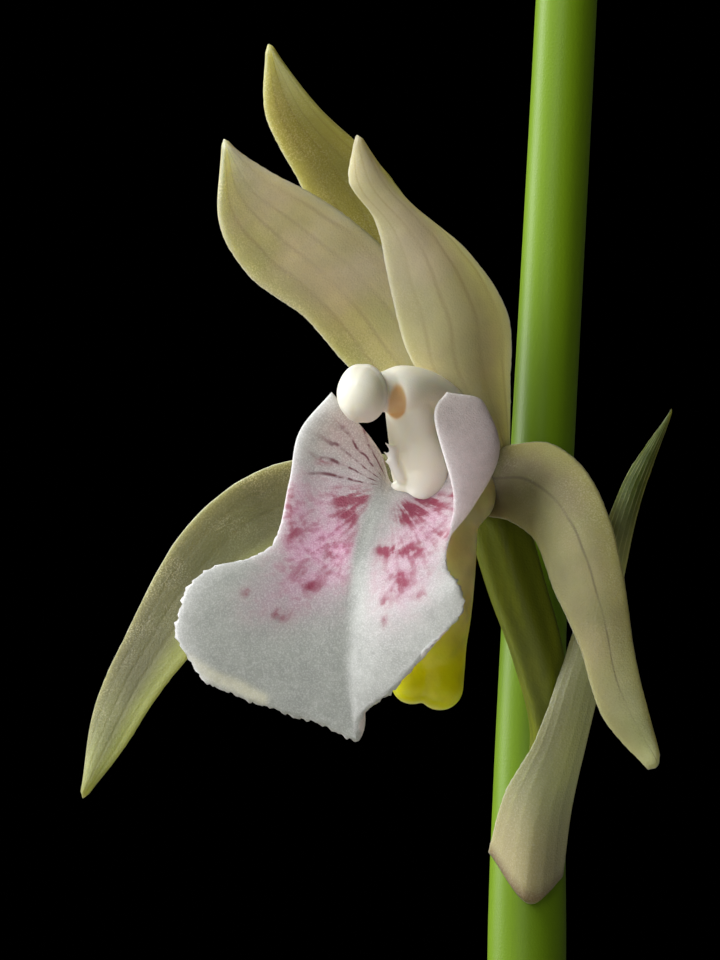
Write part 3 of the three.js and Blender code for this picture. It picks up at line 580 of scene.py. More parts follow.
class Kind(Enum):
    """A type of node with its usual settings and the output that is used."""

    MIX = ("ShaderNodeMix", {"data_type": "RGBA"}, "Result")
    SPAN = ("ShaderNodeMapRange", {"interpolation_type": "SMOOTHSTEP"}, "Result")
    MATH = ("ShaderNodeMath", {}, "Value")
    MARK = ("ShaderNodeAttribute", {}, "Fac")
    PLACE = ("ShaderNodeTexCoord", {}, "Object")
    MAPPING = ("ShaderNodeMapping", {}, "Vector")
    NOISE = ("ShaderNodeTexNoise", {}, "Fac")
    CELLS = ("ShaderNodeTexVoronoi", {}, "Distance")
    SPLIT = ("ShaderNodeSeparateXYZ", {}, "X")
    JOIN = ("ShaderNodeCombineXYZ", {}, "Vector")
    GREY = ("ShaderNodeCombineColor", {}, "Color")
    VECTOR = ("ShaderNodeVectorMath", {}, "Vector")
    BUMP = ("ShaderNodeBump", {}, "Normal")
    SKIN = ("ShaderNodeBsdfPrincipled", {}, "BSDF")
    RANDOM = ("FunctionNodeRandomValue", {}, "Value")
    GIVEN = ("NodeGroupInput", {}, "")
    RESULT = ("NodeGroupOutput", {}, "")
    NAMED = ("GeometryNodeInputNamedAttribute", {"data_type": "FLOAT"}, "Attribute")
    SOLID = ("GeometryNodeRealizeInstances", {}, "Geometry")
    DRESS = ("GeometryNodeSetMaterial", {}, "Geometry")


def add(tree: Tree, kind: Kind | str, *feeds: Feed, out: str = "", **settings: object) -> Feed:
    """Add a node with its settings and links.

    Args:
        tree: The tree that gets the node.
        kind: The node's kind, or its type name.
        *feeds: Values or sockets for its inputs in their order, None to pass one over, or a dict by input name.
        out: The output that is wanted, by name or identifier.
        **settings: The node's own properties.

    Returns:
        The output asked for, or the kind's usual one.
    """
    name, usual, shown = kind.value if isinstance(kind, Kind) else (kind, {}, "")
    node = tree.nodes.new(name)
    for key, value in {**usual, **settings}.items():
        setattr(node, key, value)
    open_inputs = [s for s in node.inputs if s.enabled]
    pairs: list[tuple[Socket, Feed]] = []
    for place, feed in enumerate(feeds):
        if isinstance(feed, dict):
            pairs += [(next(s for s in open_inputs if key in (s.identifier, s.name)), v) for key, v in feed.items()]
        elif feed is not None:
            pairs.append((open_inputs[place], feed))
    for socket, value in pairs:
        if isinstance(value, Socket):
            tree.links.new(value, socket)
        else:
            socket.default_value = value
    wanted = out or shown
    outputs = [s for s in node.outputs if s.enabled]
    return next((s for s in outputs if wanted in (s.identifier, s.name)), outputs[0] if outputs else None)


@dataclass(frozen=True)
class Sweep:
    """A tree that sweeps a round section along a mesh line, by the radius kept on its points."""

    name: str = "round sweep"
    inputs: tuple[tuple[str, str], ...] = (
        ("Line", "NodeSocketGeometry"), ("Sides", "NodeSocketInt"), ("Finish", "NodeSocketMaterial"),
    )

    def tree(self) -> Tree:
        """The tree, with inputs for the line, its sides and its finish.

        Returns:
            The finished tree.
        """
        tree = opened(self.name, self.inputs)
        line, sides, finish = (add(tree, Kind.GIVEN, out=name) for name, _ in self.inputs)
        curve = add(tree, "GeometryNodeMeshToCurve", line)
        circle = add(tree, "GeometryNodeCurvePrimitiveCircle", {"Resolution": sides, "Radius": 1.0})
        radius = add(tree, Kind.NAMED, "radius")
        tube = add(tree, "GeometryNodeCurveToMesh",
                   {"Curve": curve, "Profile Curve": circle, "Scale": radius, "Fill Caps": True})
        smooth = add(tree, "GeometryNodeSetShadeSmooth", {"Geometry": tube, "Shade Smooth": True})
        add(tree, Kind.RESULT, add(tree, Kind.DRESS, add(tree, Kind.SOLID, smooth), {"Material": finish}))
        return tree


@dataclass(frozen=True)
class Litter:
    """A tree that scatters rough bits over a surface, each a box or ball with worn, uneven faces."""

    name: str = "scattered bits"
    seed: int = 11
    round_bits: bool = False
    inputs: tuple[tuple[str, str], ...] = (
        ("Ground", "NodeSocketGeometry"), ("Spacing", "NodeSocketFloat"), ("Density", "NodeSocketFloat"),
        ("Smallest", "NodeSocketVector"), ("Largest", "NodeSocketVector"), ("Tilt", "NodeSocketFloat"),
        ("Roughness", "NodeSocketFloat"), ("Finish", "NodeSocketMaterial"),
    )

    def bit(self, tree: Tree) -> Feed:
        """One bit, about a unit across.

        Args:
            tree: The tree that grows it.

        Returns:
            The bit's mesh.
        """
        if self.round_bits:
            return add(tree, "GeometryNodeMeshIcoSphere", {"Radius": 0.5, "Subdivisions": 2})
        cube = add(tree, "GeometryNodeSubdivideMesh", add(tree, "GeometryNodeMeshCube"), 1)
        return add(tree, "GeometryNodeSubdivisionSurface", cube, 1, 0.55)

    def tree(self) -> Tree:
        """The tree, with inputs for the ground, the bits' sizes, their spacing and their finish.

        Returns:
            The finished tree.
        """
        tree = opened(self.name, self.inputs)
        ground, spacing, density, small, large, tilt, rough, finish = (
            add(tree, Kind.GIVEN, out=name) for name, _ in self.inputs)
        spots = add(tree, "GeometryNodeDistributePointsOnFaces", {
            "Mesh": ground, "Distance Min": spacing, "Density Max": density,
            "Density Factor": add(tree, Kind.NAMED, "free"), "Seed": self.seed,
        }, distribute_method="POISSON")
        lean = add(tree, Kind.MATH, tilt, -1.0, operation="MULTIPLY")
        low, high = add(tree, Kind.JOIN, lean, lean, 0.0), add(tree, Kind.JOIN, tilt, tilt, 2 * math.pi)
        turn = add(tree, Kind.RANDOM, low, high, {"Seed": self.seed + 1}, data_type="FLOAT_VECTOR")
        size = add(tree, Kind.RANDOM, small, large, {"Seed": self.seed + 2}, data_type="FLOAT_VECTOR")
        placed = add(tree, "GeometryNodeInstanceOnPoints",
                     {"Points": spots, "Instance": self.bit(tree), "Rotation": turn, "Scale": size})
        tone = add(tree, Kind.RANDOM, 0.0, 1.0, {"Seed": self.seed + 3}, data_type="FLOAT")
        toned = add(tree, "GeometryNodeStoreNamedAttribute",
                    {"Geometry": placed, "Name": "tone", "Value": tone}, data_type="FLOAT", domain="INSTANCE")
        bumps = add(tree, Kind.NOISE, {"Scale": per(3.0), "Detail": 3.0}, out="Color")
        centred = add(tree, Kind.VECTOR, bumps, (0.5, 0.5, 0.5), operation="SUBTRACT")
        push = add(tree, Kind.VECTOR, centred, {"Scale": rough}, operation="SCALE")
        worn = add(tree, "GeometryNodeSetPosition", {"Geometry": add(tree, Kind.SOLID, toned), "Offset": push})
        add(tree, Kind.RESULT, add(tree, Kind.DRESS, worn, {"Material": finish}))
        return tree


def opened(name: str, inputs: Sequence[tuple[str, str]]) -> Tree:
    """A new geometry tree.

    Args:
        name: Its name.
        inputs: The name and socket type of each input.

    Returns:
        The tree, with those inputs and one mesh as its output.
    """
    tree = bpy.data.node_groups.new(name, "GeometryNodeTree")
    for label, kind in inputs:
        tree.interface.new_socket(label, in_out="INPUT", socket_type=kind)
    tree.interface.new_socket("Mesh", in_out="OUTPUT", socket_type="NodeSocketGeometry")
    return tree


def grown(mesh: bpy.types.Mesh, tree: Tree, name: str, **sizes: object) -> bpy.types.Object:
    """Run a geometry tree on a mesh and keep its result as a plain object.

    Args:
        mesh: What the tree starts from.
        tree: The tree.
        name: Name of the new object.
        **sizes: Values for the tree's named inputs.

    Returns:
        An object at the origin with the tree's result as its own mesh.
    """
    thing = show(mesh, "growing")
    modifier = thing.modifiers.new("grow", "NODES")
    modifier.node_group = tree
    for item in tree.interface.items_tree:
        if item.in_out == "INPUT" and item.name in sizes:
            modifier[item.identifier] = sizes[item.name]
    return show(settled(thing, name), name)


# Finishes


@dataclass(frozen=True)
class Finish:
    """A material that starts from one tone, with its own gloss, depth and relief."""

    name: str
    tone: str
    roughness: float = 0.5
    depth: float = 0.0
    depth_radius: tuple[float, float, float] = (0.9, 0.8, 0.45)
    ior: float = 1.4
    coat: float = 0.0
    coat_roughness: float = 0.3
    bump: float = 0.05

    def paint(self, tree: Tree) -> Feed:
        """The colour, as a value or a socket."""
        return linear(self.tone)

    def relief(self, tree: Tree) -> Feed:
        """The height of the surface's fine relief, or nothing."""
        return None

    def material(self) -> bpy.types.Material:
        """The finished material.

        Returns:
            The material, with its nodes.
        """
        made = bpy.data.materials.new(self.name)
        made.use_nodes = True
        tree = made.node_tree
        tree.nodes.clear()
        feeds = {
            "Base Color": self.paint(tree), "Roughness": self.roughness, "IOR": self.ior,
            "Subsurface Weight": self.depth, "Subsurface Radius": self.depth_radius, "Subsurface Scale": MM,
            "Coat Weight": self.coat, "Coat Roughness": self.coat_roughness,
        }
        height = self.relief(tree)
        if height is not None:
            feeds["Normal"] = add(tree, Kind.BUMP, {"Height": height, "Strength": 1.0, "Distance": self.bump * MM})
        add(tree, "ShaderNodeOutputMaterial", {"Surface": add(tree, Kind.SKIN, feeds)})
        return made


def speckle(
    tree: Tree, size: float, detail: float = 2.0, stretch: tuple[float, float, float] = (1, 1, 1)
) -> Feed:
    """Cloudy noise in Object coordinates.

    Args:
        tree: The material's tree.
        size: Size of a cloud in millimetres.
        detail: Finer layers on top.
        stretch: Factors on the three axes.

    Returns:
        The noise, about 0.5 in the middle.
    """
    place = add(tree, Kind.MAPPING, add(tree, Kind.PLACE), {"Scale": stretch})
    return add(tree, Kind.NOISE, {"Vector": place, "Scale": per(size), "Detail": detail})


def papillae(tree: Tree, size: float) -> Feed:
    """Domed cells of a petal's skin.

    Args:
        tree: The material's tree.
        size: Width of a cell in millimetres.

    Returns:
        Height from 1 at a cell's crown to about 0 at its edge.
    """
    # Real cells are near 0.03 mm across: they are drawn at least twice as coarse, so that they show.
    far = add(tree, Kind.CELLS, {"Vector": add(tree, Kind.PLACE), "Scale": per(size), "Randomness": 0.85})
    return add(tree, Kind.SPAN, far, 0.0, 0.75, 1.0, 0.0)


def glints(tree: Tree, size: float, share: float) -> Feed:
    """Scattered single cells for painted glints, where the domed cells of a petal catch the light.

    Args:
        tree: The material's tree.
        size: Width of a cell in millimetres.
        share: Share of the cells that glint.

    Returns:
        1 on a glinting cell and 0 elsewhere.
    """
    feeds = {"Vector": add(tree, Kind.PLACE), "Scale": per(size), "Randomness": 1.0}
    chance = add(tree, Kind.SPLIT, add(tree, Kind.CELLS, feeds, out="Color"))
    lit = add(tree, Kind.SPAN, chance, 1 - share, 1.0)
    crown = add(tree, Kind.SPAN, add(tree, Kind.CELLS, feeds), 0.1, 0.45, 1.0, 0.0)
    return add(tree, Kind.MATH, lit, crown, operation="MULTIPLY")


def painted_glitter(tree: Tree, strength: float) -> Feed:
    """Painted highlights: fine pale grain with scattered glints for the light that domed skin cells catch, drawn about
    twice as coarse as real skin cells so that it shows.

    Args:
        tree: The material's tree.
        strength: How far the grain goes to white.

    Returns:
        Share of white at each place.
    """
    grain = add(tree, Kind.SPAN, speckle(tree, 0.042, 1.0), 0.42, 0.72, 0.0, 0.75 * strength)
    spark = add(tree, Kind.MATH, glints(tree, 0.06, 0.25), strength, operation="MULTIPLY")
    return add(tree, Kind.MATH, grain, spark, operation="MAXIMUM")


def lengthwise(tree: Tree, count: float, width: float, wobble: float = 0.012) -> Feed:
    """Veins that run from a blade's base to its tip.

    Args:
        tree: The material's tree.
        count: Veins across the blade.
        width: Share of the spacing that a vein takes.
        wobble: How far veins stray, as a share of the blade's width.

    Returns:
        1 on a vein and 0 between veins.
    """
    drift = add(tree, Kind.SPAN, speckle(tree, 1.6, 1.0), 0.3, 0.7, -wobble, wobble)
    across = add(tree, Kind.MARK, attribute_name="across")
    moved = add(tree, Kind.MATH, across, drift, operation="ADD")
    spread = add(tree, Kind.MATH, moved, count, operation="MULTIPLY")
    saw = add(tree, Kind.MATH, spread, 1.0, operation="PINGPONG")
    return add(tree, Kind.SPAN, saw, 0.0, width, 1.0, 0.0)


@dataclass(frozen=True)
class TepalFinish(Finish):
    """Petal and sepal skin: waxy and translucent, with domed cells, painted glints where they catch the light, and
    faint lengthwise veins.
    """

    base: str = "8f9040"
    tip: str = "9aa030"
    back: str = "a0a05c"
    first: str = "8f9060"
    first_strength: float = 0.4
    last: str = "a09a80"
    last_strength: float = 0.4
    vein: str = "6d5648"
    vein_strength: float = 0.3
    vein_count: float = 9.0
    vein_width: float = 0.3
    cloud: str = "a3a860"
    cloud_strength: float = 0.5
    # Painted highlights: the glints' tone and how strongly glints and grain show.
    glint: str = "fdf6d8"
    sparkle: float = 0.45

    def paint(self, tree: Tree) -> Feed:
        """Base, middle and tip tones, a tone for each margin, veins, another tone on the back, and painted glints.

        Args:
            tree: The material's tree.

        Returns:
            The colour.
        """
        along, across = (add(tree, Kind.MARK, attribute_name=name) for name in ("along", "across"))
        clouds = speckle(tree, 1.8, 3.0)
        body = add(tree, Kind.MIX, add(tree, Kind.SPAN, along, 0.08, 0.45, 1, 0), linear(self.tone), linear(self.base))
        body = add(tree, Kind.MIX, add(tree, Kind.SPAN, along, 0.7, 1.0), body, linear(self.tip))
        drift = add(tree, Kind.SPAN, speckle(tree, 2.6, 4.0), 0.4, 0.62, 0.0, self.cloud_strength)
        body = add(tree, Kind.MIX, drift, body, linear(self.cloud))
        low = add(tree, Kind.SPAN, across, 0.02, 0.4, self.first_strength, 0.0)
        high = add(tree, Kind.SPAN, across, 0.6, 0.98, 0.0, self.last_strength)
        body = add(tree, Kind.MIX, low, body, linear(self.first))
        body = add(tree, Kind.MIX, high, body, linear(self.last))
        worn = add(tree, Kind.SPAN, clouds, 0.35, 0.62, 0.2 * self.vein_strength, self.vein_strength)
        veins = add(tree, Kind.MATH, lengthwise(tree, self.vein_count, self.vein_width), worn, operation="MULTIPLY")
        body = add(tree, Kind.MIX, veins, body, linear(self.vein))
        front = add(tree, Kind.MARK, attribute_name="front")
        body = add(tree, Kind.MIX, add(tree, Kind.SPAN, front, 0.2, 0.8, 0.7, 0.0), body, linear(self.back))
        grey = add(tree, Kind.SPAN, clouds, 0.3, 0.7, 0.88, 1.1)
        body = add(tree, Kind.MIX, 1.0, body, add(tree, Kind.GREY, grey, grey, grey), blend_type="MULTIPLY")
        # Painted highlights: glints and pale grain, patchy and stronger towards the first margin.
        patchy = add(tree, Kind.SPAN, speckle(tree, 1.2, 2.0), 0.42, 0.6, 0.3, 1.0)
        edge = add(tree, Kind.MATH, patchy, add(tree, Kind.SPAN, across, 0.05, 0.7, 1.0, 0.3), operation="MULTIPLY")
        shine = add(tree, Kind.MATH, painted_glitter(tree, self.sparkle), edge, operation="MULTIPLY")
        return add(tree, Kind.MIX, shine, body, linear(self.glint))

    def relief(self, tree: Tree) -> Feed:
        """Domed cells over shallow vein grooves."""
        groove = add(tree, Kind.MATH, lengthwise(tree, self.vein_count, 0.5), -1.2, operation="MULTIPLY")
        return add(tree, Kind.MATH, papillae(tree, 0.06), groove, operation="ADD")


@dataclass(frozen=True)
class LipFinish(Finish):
    """Lip skin: white with a rose flush, crimson blotches and brown-purple veins, painted shade over its left half and
    near the side lobe's base, and painted glints and grain for the light its domed cells catch.
    """

    # Painted shade: a grey tone for the left half, which faces away from the light, and a pink-brown one near the side
    # lobe's base.
    painted_shade_tone: str = "adb0aa"
    dusk: str = "b2a49c"
    flush: str = "cfa0ba"
    blotch: str = "8e0f40"
    flap: str = "dcd9c0"
    line: str = "6e3a44"
    back: str = "e8d6d2"
    # Painted highlights: the white that the glints and grain are mixed towards.
    painted_glitter_tone: str = "ffffff"
    throat: tuple[float, float] = (-3.59, 10.48)

    def polar(self, tree: Tree) -> tuple[Feed, Feed]:
        """Angle and distance from the throat, from the front: 0 to the left and rising upwards.

        Args:
            tree: The material's tree.

        Returns:
            The angle and the distance in millimetres.
        """
        x, z = (add(tree, Kind.MARK, attribute_name=name) for name in ("seen_x", "seen_z"))
        left = add(tree, Kind.MATH, self.throat[0], x, operation="SUBTRACT")
        up = add(tree, Kind.MATH, z, self.throat[1], operation="SUBTRACT")
        reach = add(tree, Kind.VECTOR, add(tree, Kind.JOIN, left, up, 0.0), out="Value", operation="LENGTH")
        return add(tree, Kind.MATH, up, left, operation="ARCTAN2"), reach

    def veins(self, tree: Tree, angle: Feed, reach: Feed) -> Feed:
        """Broken veins that fan out from the throat over the left side lobe.

        Args:
            tree: The material's tree.
            angle: The angle about the throat.
            reach: The distance from the throat.

        Returns:
            1 on a vein and 0 elsewhere.
        """
        drift = add(tree, Kind.SPAN, speckle(tree, 0.6, 2.0), 0.3, 0.7, 0.03, 0.09)
        turned = add(tree, Kind.MATH, add(tree, Kind.MATH, angle, drift, operation="ADD"), 8.4, operation="MULTIPLY")
        fan = add(tree, Kind.SPAN, add(tree, Kind.MATH, turned, 1.0, operation="PINGPONG"), 0.05, 0.36, 1.0, 0.0)
        limits = ((reach, 1.5, 2.6, 1.0, 0.0), (reach, 0.15, 0.5, 0.0, 1.0), (angle, 0.06, 0.16, 0.0, 1.0),
                  (speckle(tree, 0.28, 2.0), 0.36, 0.56, 0.15, 1.0))
        for value, *span in limits:
            fan = add(tree, Kind.MATH, fan, add(tree, Kind.SPAN, value, *span), operation="MULTIPLY")
        return add(tree, Kind.MATH, fan, add(tree, Kind.MARK, attribute_name="line"), operation="MULTIPLY")

    def paint(self, tree: Tree) -> Feed:
        """White with the painted shade, the flush, the blotches and the veins that the points' marks give, and painted
        glints and grain.

        Args:
            tree: The material's tree.

        Returns:
            The colour.
        """
        angle, reach = self.polar(tree)
        shade, dusk, flush, blotch, front = (
            add(tree, Kind.MARK, attribute_name=name) for name in ("shade", "dusk", "flush", "blotch", "front"))
        # Painted shade: darker over the left half of the lip and near the side lobe's base.
        body = add(tree, Kind.MIX, shade, linear(self.tone), linear(self.painted_shade_tone))
        body = add(tree, Kind.MIX, dusk, body, linear(self.dusk))
        body = add(tree, Kind.MIX, add(tree, Kind.SPAN, front, 0.2, 0.8, 0.8, 0.0), body, linear(self.back))
        body = add(tree, Kind.MIX, add(tree, Kind.MARK, attribute_name="flap"), body, linear(self.flap))
        rays = add(tree, Kind.JOIN, add(tree, Kind.MATH, angle, 7.0, operation="MULTIPLY"), reach, 0.0)
        streaks = add(tree, Kind.NOISE, {"Vector": rays, "Scale": 1.3, "Detail": 3.0})
        mottle = add(tree, Kind.MATH, streaks, speckle(tree, 0.2, 4.0), operation="ADD")
        grey = add(tree, Kind.SPAN, mottle, 0.7, 1.3, 0.9, 1.08)
        body = add(tree, Kind.MIX, 1.0, body, add(tree, Kind.GREY, grey, grey, grey), blend_type="MULTIPLY")
        patchy = add(tree, Kind.SPAN, speckle(tree, 0.4, 4.0), 0.3, 0.65, 0.7, 1.1)
        body = add(tree, Kind.MIX, add(tree, Kind.MATH, flush, patchy, operation="MULTIPLY"), body, linear(self.flush))
        # Painted highlights: glints and pale grain on the domed cells, mixed towards white.
        body = add(tree, Kind.MIX, painted_glitter(tree, 0.3), body, linear(self.painted_glitter_tone))
        fine = add(tree, Kind.MATH, flush, add(tree, Kind.SPAN, mottle, 0.94, 1.2, 0.0, 0.55), operation="MULTIPLY")
        body = add(tree, Kind.MIX, fine, body, linear(self.blotch))
        grain = add(tree, Kind.MATH, streaks, speckle(tree, 0.3, 3.0), operation="ADD")
        broken = add(tree, Kind.SPAN, grain, 0.75, 1.25, 0.25, 1.3)
        dense = add(tree, Kind.MATH, blotch, broken, operation="MULTIPLY")
        body = add(tree, Kind.MIX, add(tree, Kind.SPAN, dense, 0.05, 1.3, 0.0, 0.85), body, linear(self.blotch))
        return add(tree, Kind.MIX, self.veins(tree, angle, reach), body, linear(self.line))

    def relief(self, tree: Tree) -> Feed:
        """Domed cells."""
        return papillae(tree, 0.06)


@dataclass(frozen=True)
class SpurFinish(Finish):
    """Spur skin: smooth and watery, ivory at its mouth and bright yellow-green at its tip."""

    mouth: str = "fff4c0"
    cloud: str = "8f9410"

    def paint(self, tree: Tree) -> Feed:
        """From the mouth's tone to the tip's, with greener clouds.

        Args:
            tree: The material's tree.

        Returns:
            The colour.
        """
        down = add(tree, Kind.SPAN, add(tree, Kind.MARK, attribute_name="along"), 0.3, 0.8)
        body = add(tree, Kind.MIX, down, linear(self.mouth), linear(self.tone))
        clouds = add(tree, Kind.SPAN, speckle(tree, 0.9), 0.35, 0.7, 0, 0.3)
        return add(tree, Kind.MIX, clouds, body, linear(self.cloud))

    def relief(self, tree: Tree) -> Feed:
        """Fine cells."""
        return papillae(tree, 0.09)


@dataclass(frozen=True)
class ColumnFinish(Finish):
    """Column flesh: ivory and wax-like, with a tan hollow."""

    hollow: str = "e6c88e"

    def paint(self, tree: Tree) -> Feed:
        """Ivory with the hollow's tan."""
        inside = add(tree, Kind.SPAN, add(tree, Kind.MARK, attribute_name="hollow"), 0.25, 0.6)
        return add(tree, Kind.MIX, inside, linear(self.tone), linear(self.hollow))

    def relief(self, tree: Tree) -> Feed:
        """Very fine cells."""
        return papillae(tree, 0.06)


@dataclass(frozen=True)
class StemFinish(Finish):
    """Stem skin: smooth, juicy and green, with fine lengthwise streaks."""

    shade: str = "4e7312"
    streak: float = 0.5

    def paint(self, tree: Tree) -> Feed:
        """Green with lighter and darker streaks.

        Args:
            tree: The material's tree.

        Returns:
            The colour.
        """
        streaks = add(tree, Kind.SPAN, speckle(tree, 0.3, 2.0, (1.0, 1.0, 0.04)), 0.35, 0.65, 0, self.streak)
        clouds = add(tree, Kind.SPAN, speckle(tree, 6.0, 2.0, (1.0, 1.0, 0.3)), 0.35, 0.7, 0, 0.35)
        body = add(tree, Kind.MIX, streaks, linear(self.tone), linear(self.shade))
        return add(tree, Kind.MIX, clouds, body, linear(self.shade))

    def relief(self, tree: Tree) -> Feed:
        """Shallow streaks under fine cells."""
        streaks = speckle(tree, 0.25, 2.0, (1.0, 1.0, 0.04))
        return add(tree, Kind.MATH, papillae(tree, 0.07), streaks, operation="ADD")


@dataclass(frozen=True)
class BractFinish(Finish):
    """Bract skin: thin and papery, pale sage to green, with close veins and a brown-pink foot; the green side is
    partly painted light, toned lighter where the light falls less.
    """

    green: str = "bcc288"
    tan: str = "bcaa80"
    foot: str = "6a4a36"
    tip: str = "3c4c06"
    # Painted highlights: the tone of the glints.
    glint: str = "f4f2dc"

    def paint(self, tree: Tree) -> Feed:
        """Sage on one side and green on the other, partly painted light with the shaded right side toned lighter,
        veined, with the foot's and the tip's tones and painted glints.

        Args:
            tree: The material's tree.

        Returns:
            The colour.
        """
        along, across = (add(tree, Kind.MARK, attribute_name=name) for name in ("along", "across"))
        # Partly painted light: the right side, which the light from the left reaches less, is toned lighter than the
        # left.
        body = add(tree, Kind.MIX, add(tree, Kind.SPAN, across, 0.2, 0.65), linear(self.tone), linear(self.green))
        body = add(tree, Kind.MIX, add(tree, Kind.SPAN, along, 0.6, 0.85), body, linear(self.tip))
        clouds = add(tree, Kind.SPAN, speckle(tree, 0.5, 3.0), 0.35, 0.65, 0.1, 0.45)
        veins = add(tree, Kind.MATH, lengthwise(tree, 13.0, 0.4), clouds, operation="MULTIPLY")
        body = add(tree, Kind.MIX, veins, body, linear(self.green))
        body = add(tree, Kind.MIX, add(tree, Kind.SPAN, along, 0.05, 0.25, 0.6, 0), body, linear(self.tan))
        body = add(tree, Kind.MIX, add(tree, Kind.SPAN, along, 0.0, 0.045, 0.9, 0), body, linear(self.foot))
        # Painted highlights: glints and pale grain, fewer towards the tip.
        low = add(tree, Kind.SPAN, along, 0.4, 0.75, 1.0, 0.1)
        shine = add(tree, Kind.MATH, painted_glitter(tree, 0.2), low, operation="MULTIPLY")
        return add(tree, Kind.MIX, shine, body, linear(self.glint))

    def relief(self, tree: Tree) -> Feed:
        """Raised veins and a grain of cells."""
        ridge = add(tree, Kind.MATH, lengthwise(tree, 13.0, 0.7), 1.4, operation="MULTIPLY")
        return add(tree, Kind.MATH, papillae(tree, 0.07), ridge, operation="ADD")


@dataclass(frozen=True)
class LeafFinish(Finish):
    """Leaf skin: leathery and waxed, dark green with broken pale bands and close lengthwise veins."""

    pale: str = "8ba56b"
    keel: str = "50702f"
    back: str = "5f7b45"
    vein: str = "24421f"

    def paint(self, tree: Tree) -> Feed:
        """Dark green broken by pale bands across the blade, with a lighter midrib.

        Args:
            tree: The material's tree.

        Returns:
            The colour.
        """
        ragged = add(tree, Kind.SPAN, speckle(tree, 1.4, 3.0), 0.3, 0.7, -0.06, 0.06)
        bands = add(tree, Kind.MATH, speckle(tree, 7.0, 3.0), ragged, operation="ADD")
        pale = add(tree, Kind.SPAN, bands, 0.5, 0.58, 0, 0.85)
        body = add(tree, Kind.MIX, pale, linear(self.tone), linear(self.pale))
        off = add(tree, Kind.MATH, add(tree, Kind.MARK, attribute_name="across"), 0.5, operation="SUBTRACT")
        rib = add(tree, Kind.MATH, off, operation="ABSOLUTE")
        body = add(tree, Kind.MIX, add(tree, Kind.SPAN, rib, 0.008, 0.03, 0.5, 0), body, linear(self.keel))
        front = add(tree, Kind.MARK, attribute_name="front")
        body = add(tree, Kind.MIX, add(tree, Kind.SPAN, front, 0.2, 0.8, 0.5, 0), body, linear(self.back))
        veins = add(tree, Kind.MATH, lengthwise(tree, 46.0, 0.4, 0.002), 0.22, operation="MULTIPLY")
        return add(tree, Kind.MIX, veins, body, linear(self.vein))

    def relief(self, tree: Tree) -> Feed:
        """Close veins and a fine leathery grain."""
        return add(tree, Kind.MATH, lengthwise(tree, 46.0, 0.8, 0.002), speckle(tree, 0.9, 3.0), operation="ADD")


@dataclass(frozen=True)
class BulbFinish(Finish):
    """Pseudobulb skin: smooth, hard and olive green, browner at the foot and wrinkled along its ribs."""

    foot: str = "7a6a3e"
    cloud: str = "4f6428"

    def paint(self, tree: Tree) -> Feed:
        """Olive with a brown foot and darker clouds.

        Args:
            tree: The material's tree.

        Returns:
            The colour.
        """
        clouds = add(tree, Kind.SPAN, speckle(tree, 3.0, 4.0, (1, 1, 0.35)), 0.4, 0.7, 0, 0.6)
        body = add(tree, Kind.MIX, clouds, linear(self.tone), linear(self.cloud))
        low = add(tree, Kind.SPAN, add(tree, Kind.MARK, attribute_name="along"), 0.02, 0.3, 0.8, 0)
        return add(tree, Kind.MIX, low, body, linear(self.foot))

    def relief(self, tree: Tree) -> Feed:
        """Lengthwise wrinkles."""
        return speckle(tree, 0.8, 3.0, (1, 1, 0.12))


@dataclass(frozen=True)
class SheathFinish(Finish):
    """Sheath skin: dry, papery and brown-green with close parallel veins."""

    dry: str = "8f7a50"
    vein: str = "574a2a"

    def paint(self, tree: Tree) -> Feed:
        """Green drying to brown at the tip, with dark veins.

        Args:
            tree: The material's tree.

        Returns:
            The colour.
        """
        dryness = add(tree, Kind.SPAN, add(tree, Kind.MARK, attribute_name="along"), 0.3, 0.95, 0.15, 0.95)
        body = add(tree, Kind.MIX, dryness, linear(self.tone), linear(self.dry))
        veins = add(tree, Kind.MATH, lengthwise(tree, 24.0, 0.4), 0.4, operation="MULTIPLY")
        return add(tree, Kind.MIX, veins, body, linear(self.vein))

    def relief(self, tree: Tree) -> Feed:
        """Raised veins."""
        return lengthwise(tree, 24.0, 0.8)


@dataclass(frozen=True)
class RootFinish(Finish):
    """Root skin: soft spongy silver-white velamen over a brown rhizome."""

    stain: str = "7d6a4c"

    def paint(self, tree: Tree) -> Feed:
        """Silver-white stained by the mix."""
        stain = add(tree, Kind.SPAN, speckle(tree, 2.2, 4.0), 0.4, 0.68, 0, 0.75)
        return add(tree, Kind.MIX, stain, linear(self.tone), linear(self.stain))

    def relief(self, tree: Tree) -> Feed:
        """A spongy grain."""
        return speckle(tree, 0.5, 4.0)


@dataclass(frozen=True)
class ClayFinish(Finish):
    """Fired clay: unglazed, matt and orange-brown, with pale lime bloom, damp shade and grit."""

    bloom: str = "d9b9a0"
    damp: str = "8f4e34"
    grit: str = "7c3f28"

    def paint(self, tree: Tree) -> Feed:
        """Orange-brown with a lime bloom, darker towards the damp foot.

        Args:
            tree: The material's tree.

        Returns:
            The colour.
        """
        height = add(tree, Kind.SPLIT, add(tree, Kind.PLACE), out="Z")
        clouds, fine = speckle(tree, 14.0, 5.0), speckle(tree, 1.1, 3.0)
        uneven = add(tree, Kind.SPAN, clouds, 0.3, 0.7, -0.02, 0.02)
        rise = add(tree, Kind.MATH, height, uneven, operation="ADD")
        wet = add(tree, Kind.SPAN, rise, 0.005, 0.07, 0.6, 0)
        body = add(tree, Kind.MIX, wet, linear(self.tone), linear(self.damp))
        lime = add(tree, Kind.MATH, add(tree, Kind.SPAN, clouds, 0.5, 0.72, 0, 0.55),
                   add(tree, Kind.SPAN, rise, 0.0, 0.06, 1, 0.35), operation="MULTIPLY")
        body = add(tree, Kind.MIX, lime, body, linear(self.bloom))
        return add(tree, Kind.MIX, add(tree, Kind.SPAN, fine, 0.58, 0.72, 0, 0.35), body, linear(self.grit))

    def relief(self, tree: Tree) -> Feed:
        """Throwing lines and grit."""
        lines = speckle(tree, 1.6, 2.0, (0.02, 0.02, 1.0))
        return add(tree, Kind.MATH, lines, speckle(tree, 0.45, 3.0), operation="ADD")


